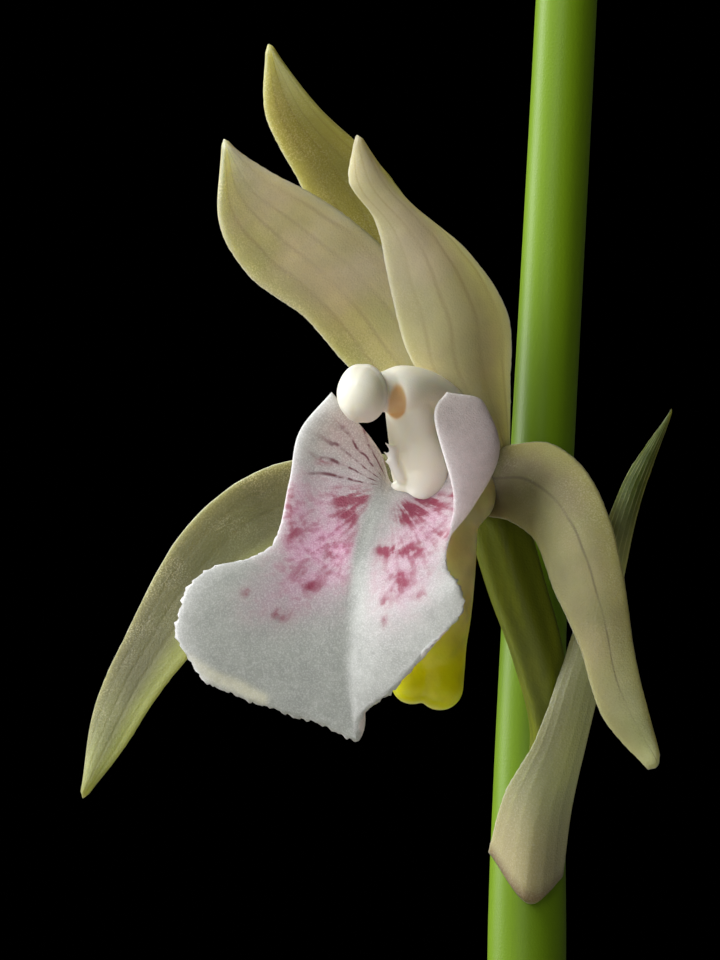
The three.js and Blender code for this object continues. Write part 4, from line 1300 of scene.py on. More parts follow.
@dataclass(frozen=True)
class BitFinish(Finish):
    """Loose bits of the potting mix: each in its own tone, with a rough fibrous grain."""

    other: str = "7a5233"
    stretch: tuple[float, float, float] = (1, 1, 1)

    def paint(self, tree: Tree) -> Feed:
        """One of a range of tones for each bit, with a fine grain.

        Args:
            tree: The material's tree.

        Returns:
            The colour.
        """
        tone = add(tree, Kind.MARK, attribute_name="tone")
        body = add(tree, Kind.MIX, tone, linear(self.tone), linear(self.other))
        grey = add(tree, Kind.SPAN, speckle(tree, 0.7, 4.0, self.stretch), 0.35, 0.7, 0.65, 1.15)
        return add(tree, Kind.MIX, 1.0, body, add(tree, Kind.GREY, grey, grey, grey), blend_type="MULTIPLY")

    def relief(self, tree: Tree) -> Feed:
        """A rough grain."""
        return speckle(tree, 0.6, 5.0, self.stretch)


@dataclass(frozen=True)
class FloorFinish(Finish):
    """Painted studio floor: pale, matt and faintly uneven."""

    cloud: str = "b4b1ab"

    def paint(self, tree: Tree) -> Feed:
        """Pale grey with faint clouds."""
        clouds = add(tree, Kind.SPAN, speckle(tree, 180.0, 3.0), 0.3, 0.7)
        return add(tree, Kind.MIX, clouds, linear(self.tone), linear(self.cloud))


class Dress(Enum):
    """Every finish, by what it covers."""

    # Thin living tissue of domed cells: light comes through it, so it glows cream with soft edges.
    PETAL = TepalFinish("petal skin", "d8ceb4", 0.55, 0.85, bump=0.006, base="ccc794", tip="f0eedc",
                        back="c0b888", first="858c6c", first_strength=0.55, last="ccb6a8", last_strength=0.35,
                        vein="86705f", vein_strength=0.3, cloud="b4b872")
    # The same skin on the petal that shows its back: satin and smoother, with pale yellow margins; the right margin's
    # pale yellow is partly painted light, for the light that comes through it.
    PETAL_OUTER = TepalFinish("petal skin, outer", "d4c9aa", 0.55, 0.85, bump=0.005, base="c8c290",
                              tip="b8ac98", back="c0b598", first="c6bc9a", last="e6e2ae", last_strength=0.8,
                              vein="96824e", vein_strength=0.3, cloud="bcbe84", sparkle=0.2)
    # Thin green-celled tissue: it glows olive, and painted glints make its cells sparkle like meal.
    DORSAL = TepalFinish("dorsal sepal skin", "a8a052", 0.55, 0.8, bump=0.006, base="827e3c",
                         tip="c6c68e", back="a6a45c", first="c0be94", last="a8a248", vein="82743a",
                         cloud="9a9a4c")
    # Thicker tissue: dull grey-olive that gives little back, with a yellower margin.
    LATERAL = TepalFinish("lateral sepal skin", "74734e", 0.6, 0.8, bump=0.008, base="74744e",
                          tip="989e66", back="868c46", first="64654a", first_strength=0.6, last="b2ba6c",
                          last_strength=0.8, vein="74704a", vein_strength=0.15, cloud="70744a", sparkle=0.3)
    # The same tissue nearer the eye: browner at its base, with one dark midvein.
    LATERAL_NEAR = TepalFinish("near lateral sepal skin", "948c62", 0.6, 0.8, bump=0.006, base="665040",
                               tip="bcc08c", back="82804c", first="a6a25c", first_strength=0.4, last="948e6a",
                               vein="44342a", vein_count=4.0, vein_width=0.11, vein_strength=0.5,
                               cloud="8c9056", sparkle=0.2)
    # White tissue of domed cells over air: matt as frost, with its pigment just under the skin, painted shade over its
    # left half and painted glints on its cells.
    LIP = LipFinish("lip skin", "bdbfbb", 0.5, 0.9, (0.7, 0.7, 0.7), bump=0.008)
    # A thin wall over nectar: wet gloss, and a yellow glow from within.
    SPUR = SpurFinish("spur skin", "f8f600", 0.3, 1.0, (1.4, 1.2, 0.15), coat=0.3, bump=0.003)
    # Dense waxy flesh: ivory with soft shadows and a faint sheen.
    COLUMN = ColumnFinish("column flesh", "fff5e2", 0.4, 0.7, (0.8, 0.7, 0.55), coat=0.1, bump=0.002)
    # A smooth rind under thin wax: one long soft highlight on clear green.
    STEM = StemFinish("stem skin", "769a04", 0.45, 0.06, (0.4, 0.5, 0.05), coat=0.14, coat_roughness=0.4,
                      bump=0.002, streak=0.25, shade="66880a")
    # The same rind with hardly any wax: duller and darker.
    OVARY = StemFinish("ovary skin", "7c8412", 0.45, 0.1, (0.4, 0.5, 0.1), coat=0.05, bump=0.005, shade="5c660c")
    # Young sepals pressed tight: pale green with a slight gloss.
    BUD = StemFinish("bud skin", "93a545", 0.4, 0.3, (0.5, 0.6, 0.15), coat=0.15, bump=0.005, shade="6f8a30")
    # A thin papery leaf: matt sage with close veins and a dry brown foot.
    BRACT = BractFinish("bract skin", "9fa078", 0.55, 0.5, bump=0.006)
    # Leather under thick wax: clear highlights over dark mottled green.
    LEAF = LeafFinish("leaf skin", "2f5527", 0.36, 0.12, (0.8, 1.2, 0.3), coat=0.35, coat_roughness=0.25, bump=0.05)
    # A hard waxed rind: broad highlights on olive, broken by wrinkles.
    BULB = BulbFinish("pseudobulb skin", "75903f", 0.38, 0.15, (1, 1.2, 0.3), coat=0.25, bump=0.12)
    # A dead leaf's foot: papery and dull, brown over green.
    SHEATH = SheathFinish("sheath skin", "83893f", 0.6, 0.1, bump=0.04)
    # Spongy velamen full of air: chalky silver without any shine.
    ROOT = RootFinish("root skin", "cfc7ad", 0.8, 0.1, bump=0.1)
    # Wheel-thrown and unglazed: matt orange-brown with throwing lines and pale lime.
    CLAY = ClayFinish("fired clay", "b96b48", 0.88, bump=0.12)
    # Rotted and damp: a near-black brown that takes the light.
    MOULD = BitFinish("leaf mould", "3b2a1d", 0.95, bump=0.5, other="2a1d14")
    # Broken by hand: warm brown with a splintered grain.
    BARK = BitFinish("bark chips", "8a5a38", 0.85, bump=0.35, other="5a3823", stretch=(1, 1, 0.3))
    # Volcanic glass blown by heat: white, crumbly and matt.
    PERLITE = BitFinish("perlite", "e4e0d6", 0.8, 0.2, (0.5, 0.5, 0.5), bump=0.2, other="cfc9bb")
    # Rolled paint: pale and matt, so that the object stands out from it.
    FLOOR = FloorFinish("painted floor", "c4c1bb", 0.85)


MADE: dict[Dress, bpy.types.Material] = {}


def wear(dress: Dress) -> bpy.types.Material:
    """The material of a finish, made once.

    Args:
        dress: Which finish.

    Returns:
        Its material.
    """
    if dress not in MADE:
        MADE[dress] = dress.value.material()
    return MADE[dress]


def piece(
    name: str, parts: Sequence[Part], dresses: Sequence[Dress], place: np.ndarray | None = None
) -> bpy.types.Object:
    """Make an object of parts, with its materials.

    Args:
        name: Name of the piece.
        parts: Its closed parts, in millimetres.
        dresses: Its finishes, in the order of the parts' finish numbers.
        place: A 4 by 4 matrix in millimetres.

    Returns:
        The object, at the origin with its place in its mesh.
    """
    mesh = mesh_of(parts, name, place=place)
    for dress in dresses:
        mesh.materials.append(wear(dress))
    return show(mesh, name)


def hand_over(thing: bpy.types.Object, node: str) -> bpy.types.Object:
    """Let a piece ride on the part's body and stand for a node.

    Args:
        thing: The piece.
        node: The node that it replaces.

    Returns:
        The piece.
    """
    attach(thing, "root")
    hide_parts(node)
    LOG.info("%s: %d faces for %s", thing.name, len(thing.data.polygons), node)
    return thing


# The pot and what it holds


@dataclass
class Pot:
    """A thrown clay pot with a thick rim band and three drain holes."""

    rim_radius: float = 60
    foot_radius: float = 42
    height: float = 105
    wall: float = 5
    band_height: float = 21
    band_step: float = 3
    drain_radius: float = 5
    drain_circle: float = 24
    drains: int = 3
    segments: int = 160

    def inner_radius(self, z: float) -> float:
        """Radius of the inner wall at a height."""
        low, high = self.foot_radius - self.wall, self.rim_radius - self.band_step - self.wall
        return low + (high - low) * (z - self.wall) / (self.height - self.wall)

    def profile(self) -> np.ndarray:
        """Radius and height round the wall, from the middle of the foot to the middle of the inside.

        Returns:
            Rows of radius and height.
        """
        top, edge = self.height, 1.5
        corners = [
            (0.01, 0, 0), (self.foot_radius, 0, edge), (self.rim_radius - self.band_step, top - self.band_height, 0.6),
            (self.rim_radius, top - self.band_height, edge), (self.rim_radius, top, 2.0),
            (self.inner_radius(top), top, 2.0), (self.inner_radius(self.wall), self.wall, 2.0), (0.01, self.wall, 0),
        ]
        rows: list[tuple[float, float]] = []
        for i, (r, z, soft) in enumerate(corners):
            here = np.array([r, z])
            if not soft:
                rows.append((r, z))
                continue
            before = unit(np.array(corners[i - 1][:2]) - here)
            after = unit(np.array(corners[i + 1][:2]) - here)
            for t in np.linspace(0, 1, 6):
                a, b = here + before * soft, here + after * soft
                rows.append(tuple((1 - t) ** 2 * a + 2 * t * (1 - t) * here + t * t * b))
        dense: list[np.ndarray] = []
        for a, b in zip(np.array(rows[:-1]), np.array(rows[1:])):
            count = max(1, int(np.linalg.norm(b - a) / 3))
            dense += [a + (b - a) * k / count for k in range(count)]
        return np.array(dense + [np.array(rows[-1])])

    def shell(self) -> Part:
        """The turned shell, with faint throwing rings.

        Returns:
            The shell, before its holes are drilled.
        """
        profile = self.profile()
        angles = np.linspace(0, 2 * math.pi, self.segments, endpoint=False)
        wave = 0.10 * np.sin(profile[:, 1] * 1.9) + 0.06 * np.sin(profile[:, 1] * 4.7 + 1)
        calm = ease(6, 10, profile[:, 1]) * ease(0, 10, profile[:, 0]) * (1 - ease(98, 103, profile[:, 1]))
        radius = (profile[:, 0] - 0.16 * calm + wave * calm)[:, None] * np.ones_like(angles)
        points = np.stack([radius * np.cos(angles), radius * np.sin(angles),
                           profile[:, 1][:, None] * np.ones_like(angles)], -1).reshape(-1, 3)
        faces: list[tuple[int, ...]] = []
        n, rows = self.segments, len(profile)
        for j in range(rows - 1):
            for i in range(n):
                a, b = j * n + i, j * n + (i + 1) % n
                faces.append((a, b, b + n, a + n))
        faces += [tuple(range(n))[::-1], tuple(range((rows - 1) * n, rows * n))]
        return Part(points, faces).outward()

    def drill(self, number: int) -> Part:
        """A round bit for one drain hole.

        Args:
            number: Which of the holes.

        Returns:
            The bit, longer than the foot is thick.
        """
        angle = 2 * math.pi * (number + 0.5) / self.drains
        x, y = self.drain_circle * math.cos(angle), self.drain_circle * math.sin(angle)
        ring = np.linspace(0, 2 * math.pi, 40, endpoint=False)
        levels = [(-5, self.drain_radius), (10, self.drain_radius)]
        points = np.array([(x + r * math.cos(a), y + r * math.sin(a), z) for z, r in levels for a in ring])
        faces: list[tuple[int, ...]] = [(i, (i + 1) % 40, 40 + (i + 1) % 40, 40 + i) for i in range(40)]
        faces += [tuple(range(40))[::-1], tuple(range(40, 80))]
        return Part(points, faces).outward()

    def build(self) -> None:
        """Make the pot."""
        body = show(mesh_of([self.shell()], "pot shell"), "pot_shell")
        bits = show(mesh_of([self.drill(i) for i in range(self.drains)], "drain bits"), "drain_bits")
        cut = body.modifiers.new("drains", "BOOLEAN")
        cut.operation, cut.solver, cut.object = "DIFFERENCE", "EXACT", bits
        mesh = settled(body, "clay_pot")
        bpy.data.objects.remove(bits)
        mesh.materials.clear()
        mesh.materials.append(wear(Dress.CLAY))
        thing = show(mesh, "clay_pot")
        hand_over(thing, "pot")


@dataclass
class PottingMix:
    """Leaf mould with bark chips, crumbs and perlite on its top."""

    pot: Pot
    top: float = 93
    rings: int = 46
    segments: int = 180
    keep_clear: Sequence[tuple[float, float, float]] = (
        (-28, 15, 8.5), (-11.5, 7.5, 9.5), (6.5, -2, 10), (25, -4.5, 7), (14.7, -11, 4),
    )

    def height(self, x: np.ndarray, y: np.ndarray) -> np.ndarray:
        """Height of the bumpy top.

        Args:
            x: Places across.
            y: Places away.

        Returns:
            A height for each place.
        """
        swell = 0.9 * np.sin(0.31 * x + 1.7) * np.cos(0.27 * y)
        rough = (0.35 * np.sin(1.3 * x + 0.6 * y) * np.sin(1.1 * y - 0.4 * x)
                 + 0.2 * np.sin(2.9 * x) * np.sin(2.6 * y + 1))
        return self.top + swell + 0.5 * np.sin(0.7 * (x + y)) + rough

    def plug(self) -> Part:
        """The closed plug of mould with its bumpy top.

        Returns:
            The plug.
        """
        radius = self.pot.inner_radius(self.top) - 0.3
        angles = np.linspace(0, 2 * math.pi, self.segments, endpoint=False)
        rows = []
        for j in range(1, self.rings + 1):
            r = radius * j / self.rings
            x, y = r * np.cos(angles), r * np.sin(angles)
            rows.append(np.stack([x, y, self.height(x, y)], -1))
        floor = self.pot.wall + 0.3
        low = self.pot.inner_radius(floor) - 0.3
        rows.append(np.stack([low * np.cos(angles), low * np.sin(angles), np.full_like(angles, floor)], -1))
        peak = [0.0, 0.0, float(self.height(np.zeros(1), np.zeros(1))[0])]
        points = np.concatenate([np.concatenate(rows), [peak]])
        n, count = self.segments, len(rows)
        faces: list[tuple[int, ...]] = [
            (j * n + i, j * n + (i + 1) % n, (j + 1) * n + (i + 1) % n, (j + 1) * n + i)
            for j in range(count - 1) for i in range(n)
        ]
        faces += [(count * n, (i + 1) % n, i) for i in range(n)]
        faces.append(tuple(range((count - 1) * n, count * n)))
        return Part(points, faces, {"tone": np.full(len(points), 0.4)}).outward()

    def ground(self, inset: float) -> bpy.types.Mesh:
        """The top surface where bits may lie, marked free away from what grows in it.

        Args:
            inset: How far bits stay from the wall.

        Returns:
            The top as a mesh of its own.
        """
        part = self.plug()
        x, y = part.points[:, 0], part.points[:, 1]
        edge = self.pot.inner_radius(self.top) - inset
        free = 1 - ease(edge - 1, edge, np.hypot(x, y))
        for cx, cy, reach in self.keep_clear:
            free = free * ease(reach - 1.5, reach, np.hypot(x - cx, y - cy))
        part.marks["free"] = free
        keep = [face for face in part.faces if len(face) < 10 and part.points[list(face), 2].min() > self.top - 4]
        return mesh_of([Part(part.points, keep, part.marks)], "ground")

    def build(self) -> None:
        """Make the mould and the bits that lie on it."""
        hand_over(piece("leaf_mould", [self.plug()], [Dress.MOULD]), "potting_mix")
        sizes = {
            "bark_chips": (Litter("bark chips", 11), Dress.BARK, 7.0, 7.0, (6, 4, 1.6), (13, 8, 3.6), 0.35, 1.6),
            "bark_crumbs": (
                Litter("bark crumbs", 23), Dress.BARK, 3.0, 2.6, (1.6, 1.2, 0.8), (4.4, 2.6, 1.6), 0.6, 0.8),
            "perlite_grains": (Litter("perlite", 37, True), Dress.PERLITE, 3.0, 8.0, (1.4, 1.3, 1.1), (3.2, 2.8, 2.2),
                               3.0, 0.9),
        }
        for name, (litter, dress, inset, spacing, small, large, tilt, rough) in sizes.items():
            thing = grown(
                self.ground(inset), litter.tree(), name, Spacing=spacing * MM, Density=1.0 / (spacing * MM) ** 2,
                Smallest=Vector(small) * MM, Largest=Vector(large) * MM, Tilt=tilt, Roughness=rough * MM,
                Finish=wear(dress),
            )
            hand_over(thing, "potting_mix")


@dataclass
class Roots:
    """The creeping rhizome and the roots that go down through the mix."""

    radius: float = 3.6
    height: float = 91
    count: int = 6
    root_radius: float = 1.7
    tip_radius: float = 1.0
    depth: float = 56
    spread: float = 26
    sides: int = 20
    growths: Sequence[tuple[float, float]] = ((-28, 15), (-11.5, 7.5), (6.5, -2), (25, -4.5))

    def rhizome(self) -> Stations:
        """The rhizome's stations."""
        x, y = self.growths[0]
        return [(x - 4, y + 2, self.height, self.radius)] + [(*g, self.height, self.radius) for g in self.growths]

    def root(self, number: int) -> Stations:
        """One root's stations.

        Args:
            number: Which root.

        Returns:
            Its stations, from its growth outwards.
        """
        start = np.array(self.growths[number % len(self.growths)]) * 0.96
        angle = 2 * math.pi * number * 5 / self.count + 0.6
        end = self.spread * np.array([math.cos(angle), math.sin(angle)])
        depths = (0, self.depth * 0.25, self.depth * 0.6, self.depth + 2 * number)
        radii = (self.root_radius, self.root_radius, self.root_radius * 0.9, self.tip_radius)
        return [(*(start + (end - start) * share), self.height - down, radius)
                for share, down, radius in zip((0, 0.3, 0.62, 0.8), depths, radii)]

    def build(self) -> None:
        """Make the rhizome and roots as one piece."""
        lines = [self.rhizome()] + [self.root(i) for i in range(self.count)]
        mesh = line_mesh(lines, 40, 0.04)
        thing = grown(mesh, Sweep().tree(), "creeping_rhizome", Sides=self.sides, Finish=wear(Dress.ROOT))
        hand_over(thing, "rhizome_and_roots")


def line_mesh(lines: Sequence[Stations], steps: int, uneven: float) -> bpy.types.Mesh:
    """Mesh lines with a radius on each point, rounded at both ends.

    Args:
        lines: Stations of x, y, z and radius for each line.
        steps: Steps along each line.
        uneven: How much the radius swells and shrinks, as a share.

    Returns:
        A mesh of edges in metres with the attribute radius.
    """
    points, radii, edges = [], [], []
    for number, stations in enumerate(lines):
        rows = np.asarray(stations, float)
        ts = np.linspace(0, 1, steps + 1)
        path, radius = smooth_curve(rows[:, :3], ts), smooth_values(rows[:, 3], ts)
        radius = radius * (1 + uneven * np.sin(ts * 37 + number * 2.1) * np.sin(ts * 11 + number))
        ahead = unit(np.gradient(path, axis=0))
        dome = np.radians([88, 72, 54, 36, 18])
        head = path[:1] - ahead[:1] * (radius[0] * np.sin(dome))[:, None]
        tail = path[-1:] + ahead[-1:] * (radius[-1] * np.sin(dome[::-1]))[:, None]
        start = sum(len(p) for p in points)
        points.append(np.concatenate([head, path, tail]))
        radii.append(np.concatenate([radius[0] * np.cos(dome), radius, radius[-1] * np.cos(dome[::-1])]))
        edges += [(start + i, start + i + 1) for i in range(len(points[-1]) - 1)]
    mesh = bpy.data.meshes.new("lines")
    mesh.from_pydata((np.concatenate(points) * MM).tolist(), edges, [])
    metres = (np.concatenate(radii) * MM).astype(np.float32)
    mesh.attributes.new("radius", "FLOAT", "POINT").data.foreach_set("value", metres)
    return mesh


@dataclass
class Growth:
    """A pseudobulb on the rhizome with its single leaf."""

    number: int
    at: tuple[float, float]
    height: float
    radius: float
    azimuth: float
    length: float
    width: float
    rise: float
    droop: float
    foot: float = 94.6
    blade: BladeForm = BladeForm(56, 150, 1.0, 0.45, facing=-1)

    def bulb(self) -> Part:
        """The ribbed pseudobulb.

        Returns:
            The pseudobulb.
        """
        x, y = self.at
        shares = ((0, 0.6), (0.28, 1.0), (0.58, 0.82), (0.88, 0.42), (1, 0.26))
        stations = [(x, y, self.foot + self.height * rise, self.radius * reach) for rise, reach in shares]

        def ribs(place: np.ndarray, angle: np.ndarray) -> np.ndarray:
            """Six ribs that fade out at the neck, under finer wrinkles."""
            fade = 1 - 0.6 * place
            return 1 + fade * (0.05 * np.cos(6 * angle) + 0.012 * np.cos(19 * angle + 5 * place) - 0.01)

        return limb_part(stations, 120, 50, ribs)

    def leaf(self) -> Part:
        """The leaf, folded at its foot and arching over.

        Returns:
            The blade, with both its faces.
        """
        turn = math.radians(self.azimuth)
        ahead = np.array([math.cos(turn), math.sin(turn), 0.0])
        side = np.array([-ahead[1], ahead[0], 0.0])
        s = np.linspace(0, 1, self.blade.across + 1)
        us, vs = s - 0.06 * np.sin(2 * math.pi * s) / math.pi, np.linspace(0, 1, self.blade.along + 1)

        def direction(v: np.ndarray) -> np.ndarray:
            """Where the midrib points at a place along it."""
            lift = np.radians(self.rise + (self.droop - self.rise) * v ** 1.25)
            return np.cos(lift)[:, None] * ahead + np.sin(lift)[:, None] * np.array([0.0, 0.0, 1.0])

        steps = 40
        strides = direction((np.arange(steps) + 0.5) / steps) * self.length / steps
        start = np.array([*self.at, self.foot + self.height - 2])
        spine = smooth_curve(np.concatenate([[start], start + np.cumsum(strides, 0)]), vs)
        across = (2 * us - 1)[:, None]
        stalk = 0.13 * (1 - vs)
        half = np.maximum(0.12, self.width / 2 * (stalk + (1 - stalk) * np.abs(np.sin(np.pi * vs ** 0.82)) ** 0.95))
        fold = np.radians(14 + 52 * np.exp(-7 * vs))
        up = np.cross(direction(vs), side)
        ripple = 0.1 * half * vs * np.sin(11 * vs + self.azimuth) * across ** 2
        ripple = ripple + 0.012 * half * np.cos(across * 21) * (1 - np.abs(across)) * np.minimum(1, 4 * vs)
        groove = -0.35 * np.exp(-((across / 0.05) ** 2)) * (1 - vs)
        grid = (spine[None] + side * (half * across * np.cos(fold))[..., None]
                + up[None] * (half * np.abs(across) ** 1.25 * np.sin(fold) + ripple + groove)[..., None])
        return sheet_part(grid, us, vs, self.blade)

    def build(self) -> None:
        """Make the pseudobulb and the leaf."""
        bulb = piece(f"green_pseudobulb_{self.number}", [self.bulb()], [Dress.BULB])
        hand_over(bulb, f"pseudobulb_{self.number}")
        leaf = piece(f"mottled_leaf_{self.number}", [self.leaf()], [Dress.LEAF])
        hand_over(leaf, f"leaf_{self.number}")


# The flower stem


@dataclass
class FlowerStem:
    """The slender stem and the dry sheaths that clasp it."""

    sides: int = 64
    steps: int = 520
    sheaths: Sequence[tuple[float, float, float, float]] = (
        (124, 150, 26, 2.72), (178, -40, 22, 2.3), (232, 120, 19, 1.95),
    )

    def sheath(self, length: float, radius: float) -> Part:
        """A sheath that clasps the stem and ends in a point on one side.

        Args:
            length: Length of the sheath.
            radius: Radius of the stem inside it.

        Returns:
            The sheath.
        """
        us, vs = np.linspace(0, 1, 57), np.linspace(0, 1, 61)
        wrap = np.radians(148 * (1 - vs ** 1.6) + 8)
        angle = (2 * us - 1)[:, None] * wrap
        ruffle = 0.05 * np.sin(vs * 23) * np.abs(2 * us - 1)[:, None] ** 3
        reach = radius - 0.18 + 0.9 * vs + ruffle
        rise = np.broadcast_to(length * vs, angle.shape)
        grid = np.stack([reach * np.cos(angle), reach * np.sin(angle), rise], -1)
        return sheet_part(grid, us, vs, BladeForm(56, 60, 0.3, 0.12))

    def build(self) -> None:
        """Make the stem and its sheaths."""
        mesh = line_mesh([SCAPE], self.steps, 0.0)
        thing = grown(mesh, Sweep().tree(), "slender_stem", Sides=self.sides, Finish=wear(Dress.STEM))
        hand_over(thing, "flower_stem")
        for number, (z, turn, length, radius) in enumerate(self.sheaths, 1):
            part = self.sheath(length, radius)
            sheath = piece(f"dry_sheath_{number}", [part], [Dress.SHEATH], place_on_stem(z, turn, 1.0))
            hand_over(sheath, f"sheath_{number}")


# The flowers


@dataclass(frozen=True)
class Spot:
    """A soft-edged oval of colour on the lip, seen from the front, with its strength."""

    x: float
    z: float
    wide: float
    tall: float
    lean: float
    strength: float

    def cover(self, points: np.ndarray) -> np.ndarray:
        """How strongly the oval covers each point.

        Args:
            points: The points.

        Returns:
            A value for each point.
        """
        lean = math.radians(self.lean)
        dx, dz = points[:, 0] - self.x, points[:, 2] - self.z
        a = (dx * math.cos(lean) + dz * math.sin(lean)) / self.wide
        b = (-dx * math.sin(lean) + dz * math.cos(lean)) / self.tall
        return self.strength * np.exp(-((a * a + b * b) ** 1.15))


@dataclass(frozen=True)
class Band:
    """A soft-edged band along a path on the lip, seen from the front."""

    path: Sequence[tuple[float, float]]
    width: float

    def cover(self, points: np.ndarray) -> np.ndarray:
        """How strongly the band covers each point.

        Args:
            points: The points.

        Returns:
            A value for each point, 1 on the band's line.
        """
        near = np.full(len(points), np.inf)
        for a, b in zip(self.path, self.path[1:]):
            gap, run = points[:, [0, 2]] - np.array(a), np.array(b) - np.array(a)
            share = np.clip(gap @ run / (run @ run), 0, 1)
            near = np.minimum(near, np.linalg.norm(gap - share[:, None] * run, axis=1))
        return np.exp(-((near / self.width) ** 3))


@dataclass
class Flower:
    """One monk orchid flower, in steps that suit how near it is seen."""

    fine: bool
    flush: Sequence[Spot] = (
        Spot(-5.4, 9.4, 1.15, 1.3, 0, 0.7), Spot(-5.75, 8.1, 1.0, 0.9, -20, 0.5), Spot(-6.2, 9.9, 0.35, 1.0, 0, 0.4),
        Spot(-4.8, 8.9, 0.5, 0.9, 15, 0.4), Spot(-3.1, 8.5, 0.75, 1.4, -23, 0.7), Spot(-2.5, 9.8, 0.8, 0.6, 0, 0.5),
        Spot(-4.5, 11.6, 0.9, 1.1, 20, 0.12), Spot(-1.4, 11.2, 0.9, 1.6, 0, 0.2), Spot(-6.8, 7.4, 0.8, 0.6, 0, 0.25),
    )
    blotch: Sequence[Spot] = (
        Spot(-4.5, 10.15, 0.5, 0.3, 20, 1.5), Spot(-4.65, 9.65, 0.34, 0.5, -10, 0.8),
        Spot(-5.1, 10.4, 0.5, 0.22, -25, 0.6),
        Spot(-4.98, 8.85, 0.42, 0.24, 10, 0.8), Spot(-5.2, 8.4, 0.3, 0.3, 0, 0.6),
        Spot(-5.85, 8.1, 0.28, 0.28, 0, 0.75),
        Spot(-5.6, 7.88, 0.32, 0.16, 0, 0.7), Spot(-6.45, 7.22, 0.3, 0.26, 0, 1.0),
        Spot(-7.34, 7.74, 0.18, 0.15, 0, 0.8),
        Spot(-6.2, 10.4, 0.16, 0.4, 0, 0.9), Spot(-6.3, 9.5, 0.36, 0.6, 0, 0.9), Spot(-5.29, 11.12, 0.3, 0.14, 0, 0.8),
        Spot(-5.35, 9.4, 1.0, 1.0, 0, 0.2), Spot(-2.65, 10.0, 0.68, 0.32, 8, 1.3),
        Spot(-3.15, 9.75, 0.3, 0.3, 0, 0.9), Spot(-1.9, 10.3, 0.12, 0.4, 0, 0.9), Spot(-3.7, 8.82, 0.34, 0.14, 0, 0.9),
        Spot(-3.2, 8.8, 0.6, 0.2, 10, 0.5), Spot(-3.4, 7.98, 0.26, 0.28, 0, 0.9), Spot(-3.74, 7.45, 0.16, 0.2, 0, 0.8),
        Spot(-3.74, 7.0, 0.14, 0.2, 0, 0.85), Spot(-2.85, 7.67, 0.25, 0.14, 0, 0.6),
        Spot(-2.2, 9.1, 0.36, 0.3, 25, 0.8),
        Spot(-3.1, 8.6, 0.8, 1.2, -23, 0.5),
    )
    keel: Band = Band(((-3.4, 10.55), (-3.75, 10.25), (-4.12, 9.5), (-4.35, 8.7), (-4.5, 7.0), (-4.5, 4.0)), 0.26)
    flap: Band = Band(((-8.8, 5.92), (-8.2, 5.53), (-7.55, 5.28), (-6.95, 4.95)), 0.2)

    def lip(self) -> list[Part]:
        """The lip's blade, with its claw and spur.

        Returns:
            The blade, then the spur and claw, melted into one part on the near flower.
        """
        form = BladeForm(150, 130, 0.3, 0.12, 0.055, 0.45, facing=-1)
        blade = blade_part(LIP, form if self.fine else replace(form, across=44, along=36))
        points, front = blade.points, blade.marks["front"]
        clear = 1 - self.keel.cover(points)
        flush = np.clip(sum(spot.cover(points) for spot in self.flush), 0, 1) * clear
        blotch = np.clip(sum(spot.cover(points) for spot in self.blotch), 0, 1.4) * clear
        side, along = blade.marks["across"], blade.marks["along"]
        line = (1 - ease(0.4, 0.5, side)) * (1 - ease(0.3, 0.42, along)) * front
        # Painted shade marks: the left half, clear of its outer margin, and the side lobe near the base.
        shade = ease(0.0, 0.08, side) * (1 - ease(0.44, 0.6, side))
        dusk = (1 - ease(0.06, 0.26, along)) * ease(0.0, 0.12, side) * (1 - 0.6 * ease(0.35, 0.45, side))
        blade.dressed(0, flush=flush * (0.4 + 0.6 * front), blotch=blotch * (0.3 + 0.7 * front), line=line,
                      shade=shade, dusk=0.8 * dusk, flap=0.9 * self.flap.cover(points) * front,
                      seen_x=points[:, 0], seen_z=points[:, 2])
        limbs = [SPUR, *SPUR_LOBES, CLAW]
        if self.fine:
            spur = [melted([limb_part(stations, 40, 30) for stations in limbs], 0.07, 5)]
        else:
            spur = [limb_part(stations, 14, 6) for stations in limbs]
        for part in spur:
            part.dressed(1, along=(9.9 - part.points[:, 2]) / 5.4)
        return [blade, *spur]

    def column(self) -> list[Part]:
        """The column, hollow below the cap, with the toothed callus at its foot.

        Returns:
            The column and callus as one melted part, or a farther flower's column as two plain parts.
        """
        if not self.fine:
            parts = [limb_part(stations, 14, 8) for stations in (COLUMN_BACK, COLUMN_FACE)]
            return [part.dressed(0, hollow=np.zeros(len(part.points))) for part in parts]
        limbs = [limb_part(stations, 40, 40) for stations in (COLUMN_BACK, COLUMN_FACE, COLUMN_FOOT)]
        limbs += [limb_part(stations, 12, 8) for stations in CALLUS]
        part = melted(limbs, 0.05, 4)
        centre, reach = np.array([-3.44, -6.2, 12.8]), np.array([0.33, 0.75, 0.55])
        near = np.exp(-(np.linalg.norm((part.points - centre) / reach, axis=1) ** 5))
        part.points = part.points + near[:, None] * np.array([0.04, 0.14, 0.0])
        return [part.dressed(0, hollow=near)]

    def cap(self) -> Part:
        """The round anther cap with its shallow furrow.

        Returns:
            The cap.
        """

        def furrow(place: np.ndarray, angle: np.ndarray) -> np.ndarray:
            """A shallow furrow over the top."""
            return 1 - 0.05 * np.exp(-((np.cos(angle) / 0.2) ** 2)) * ease(0.1, 0.7, place)

        sides, steps = (64, 24) if self.fine else (16, 4)
        part = limb_part(ANTHER_CAP, sides, steps, furrow)
        middle = ANTHER_CAP[1][2]
        part.points[:, 2] = middle + (part.points[:, 2] - middle) * 1.17
        return part.dressed(0, hollow=np.zeros(len(part.points)))

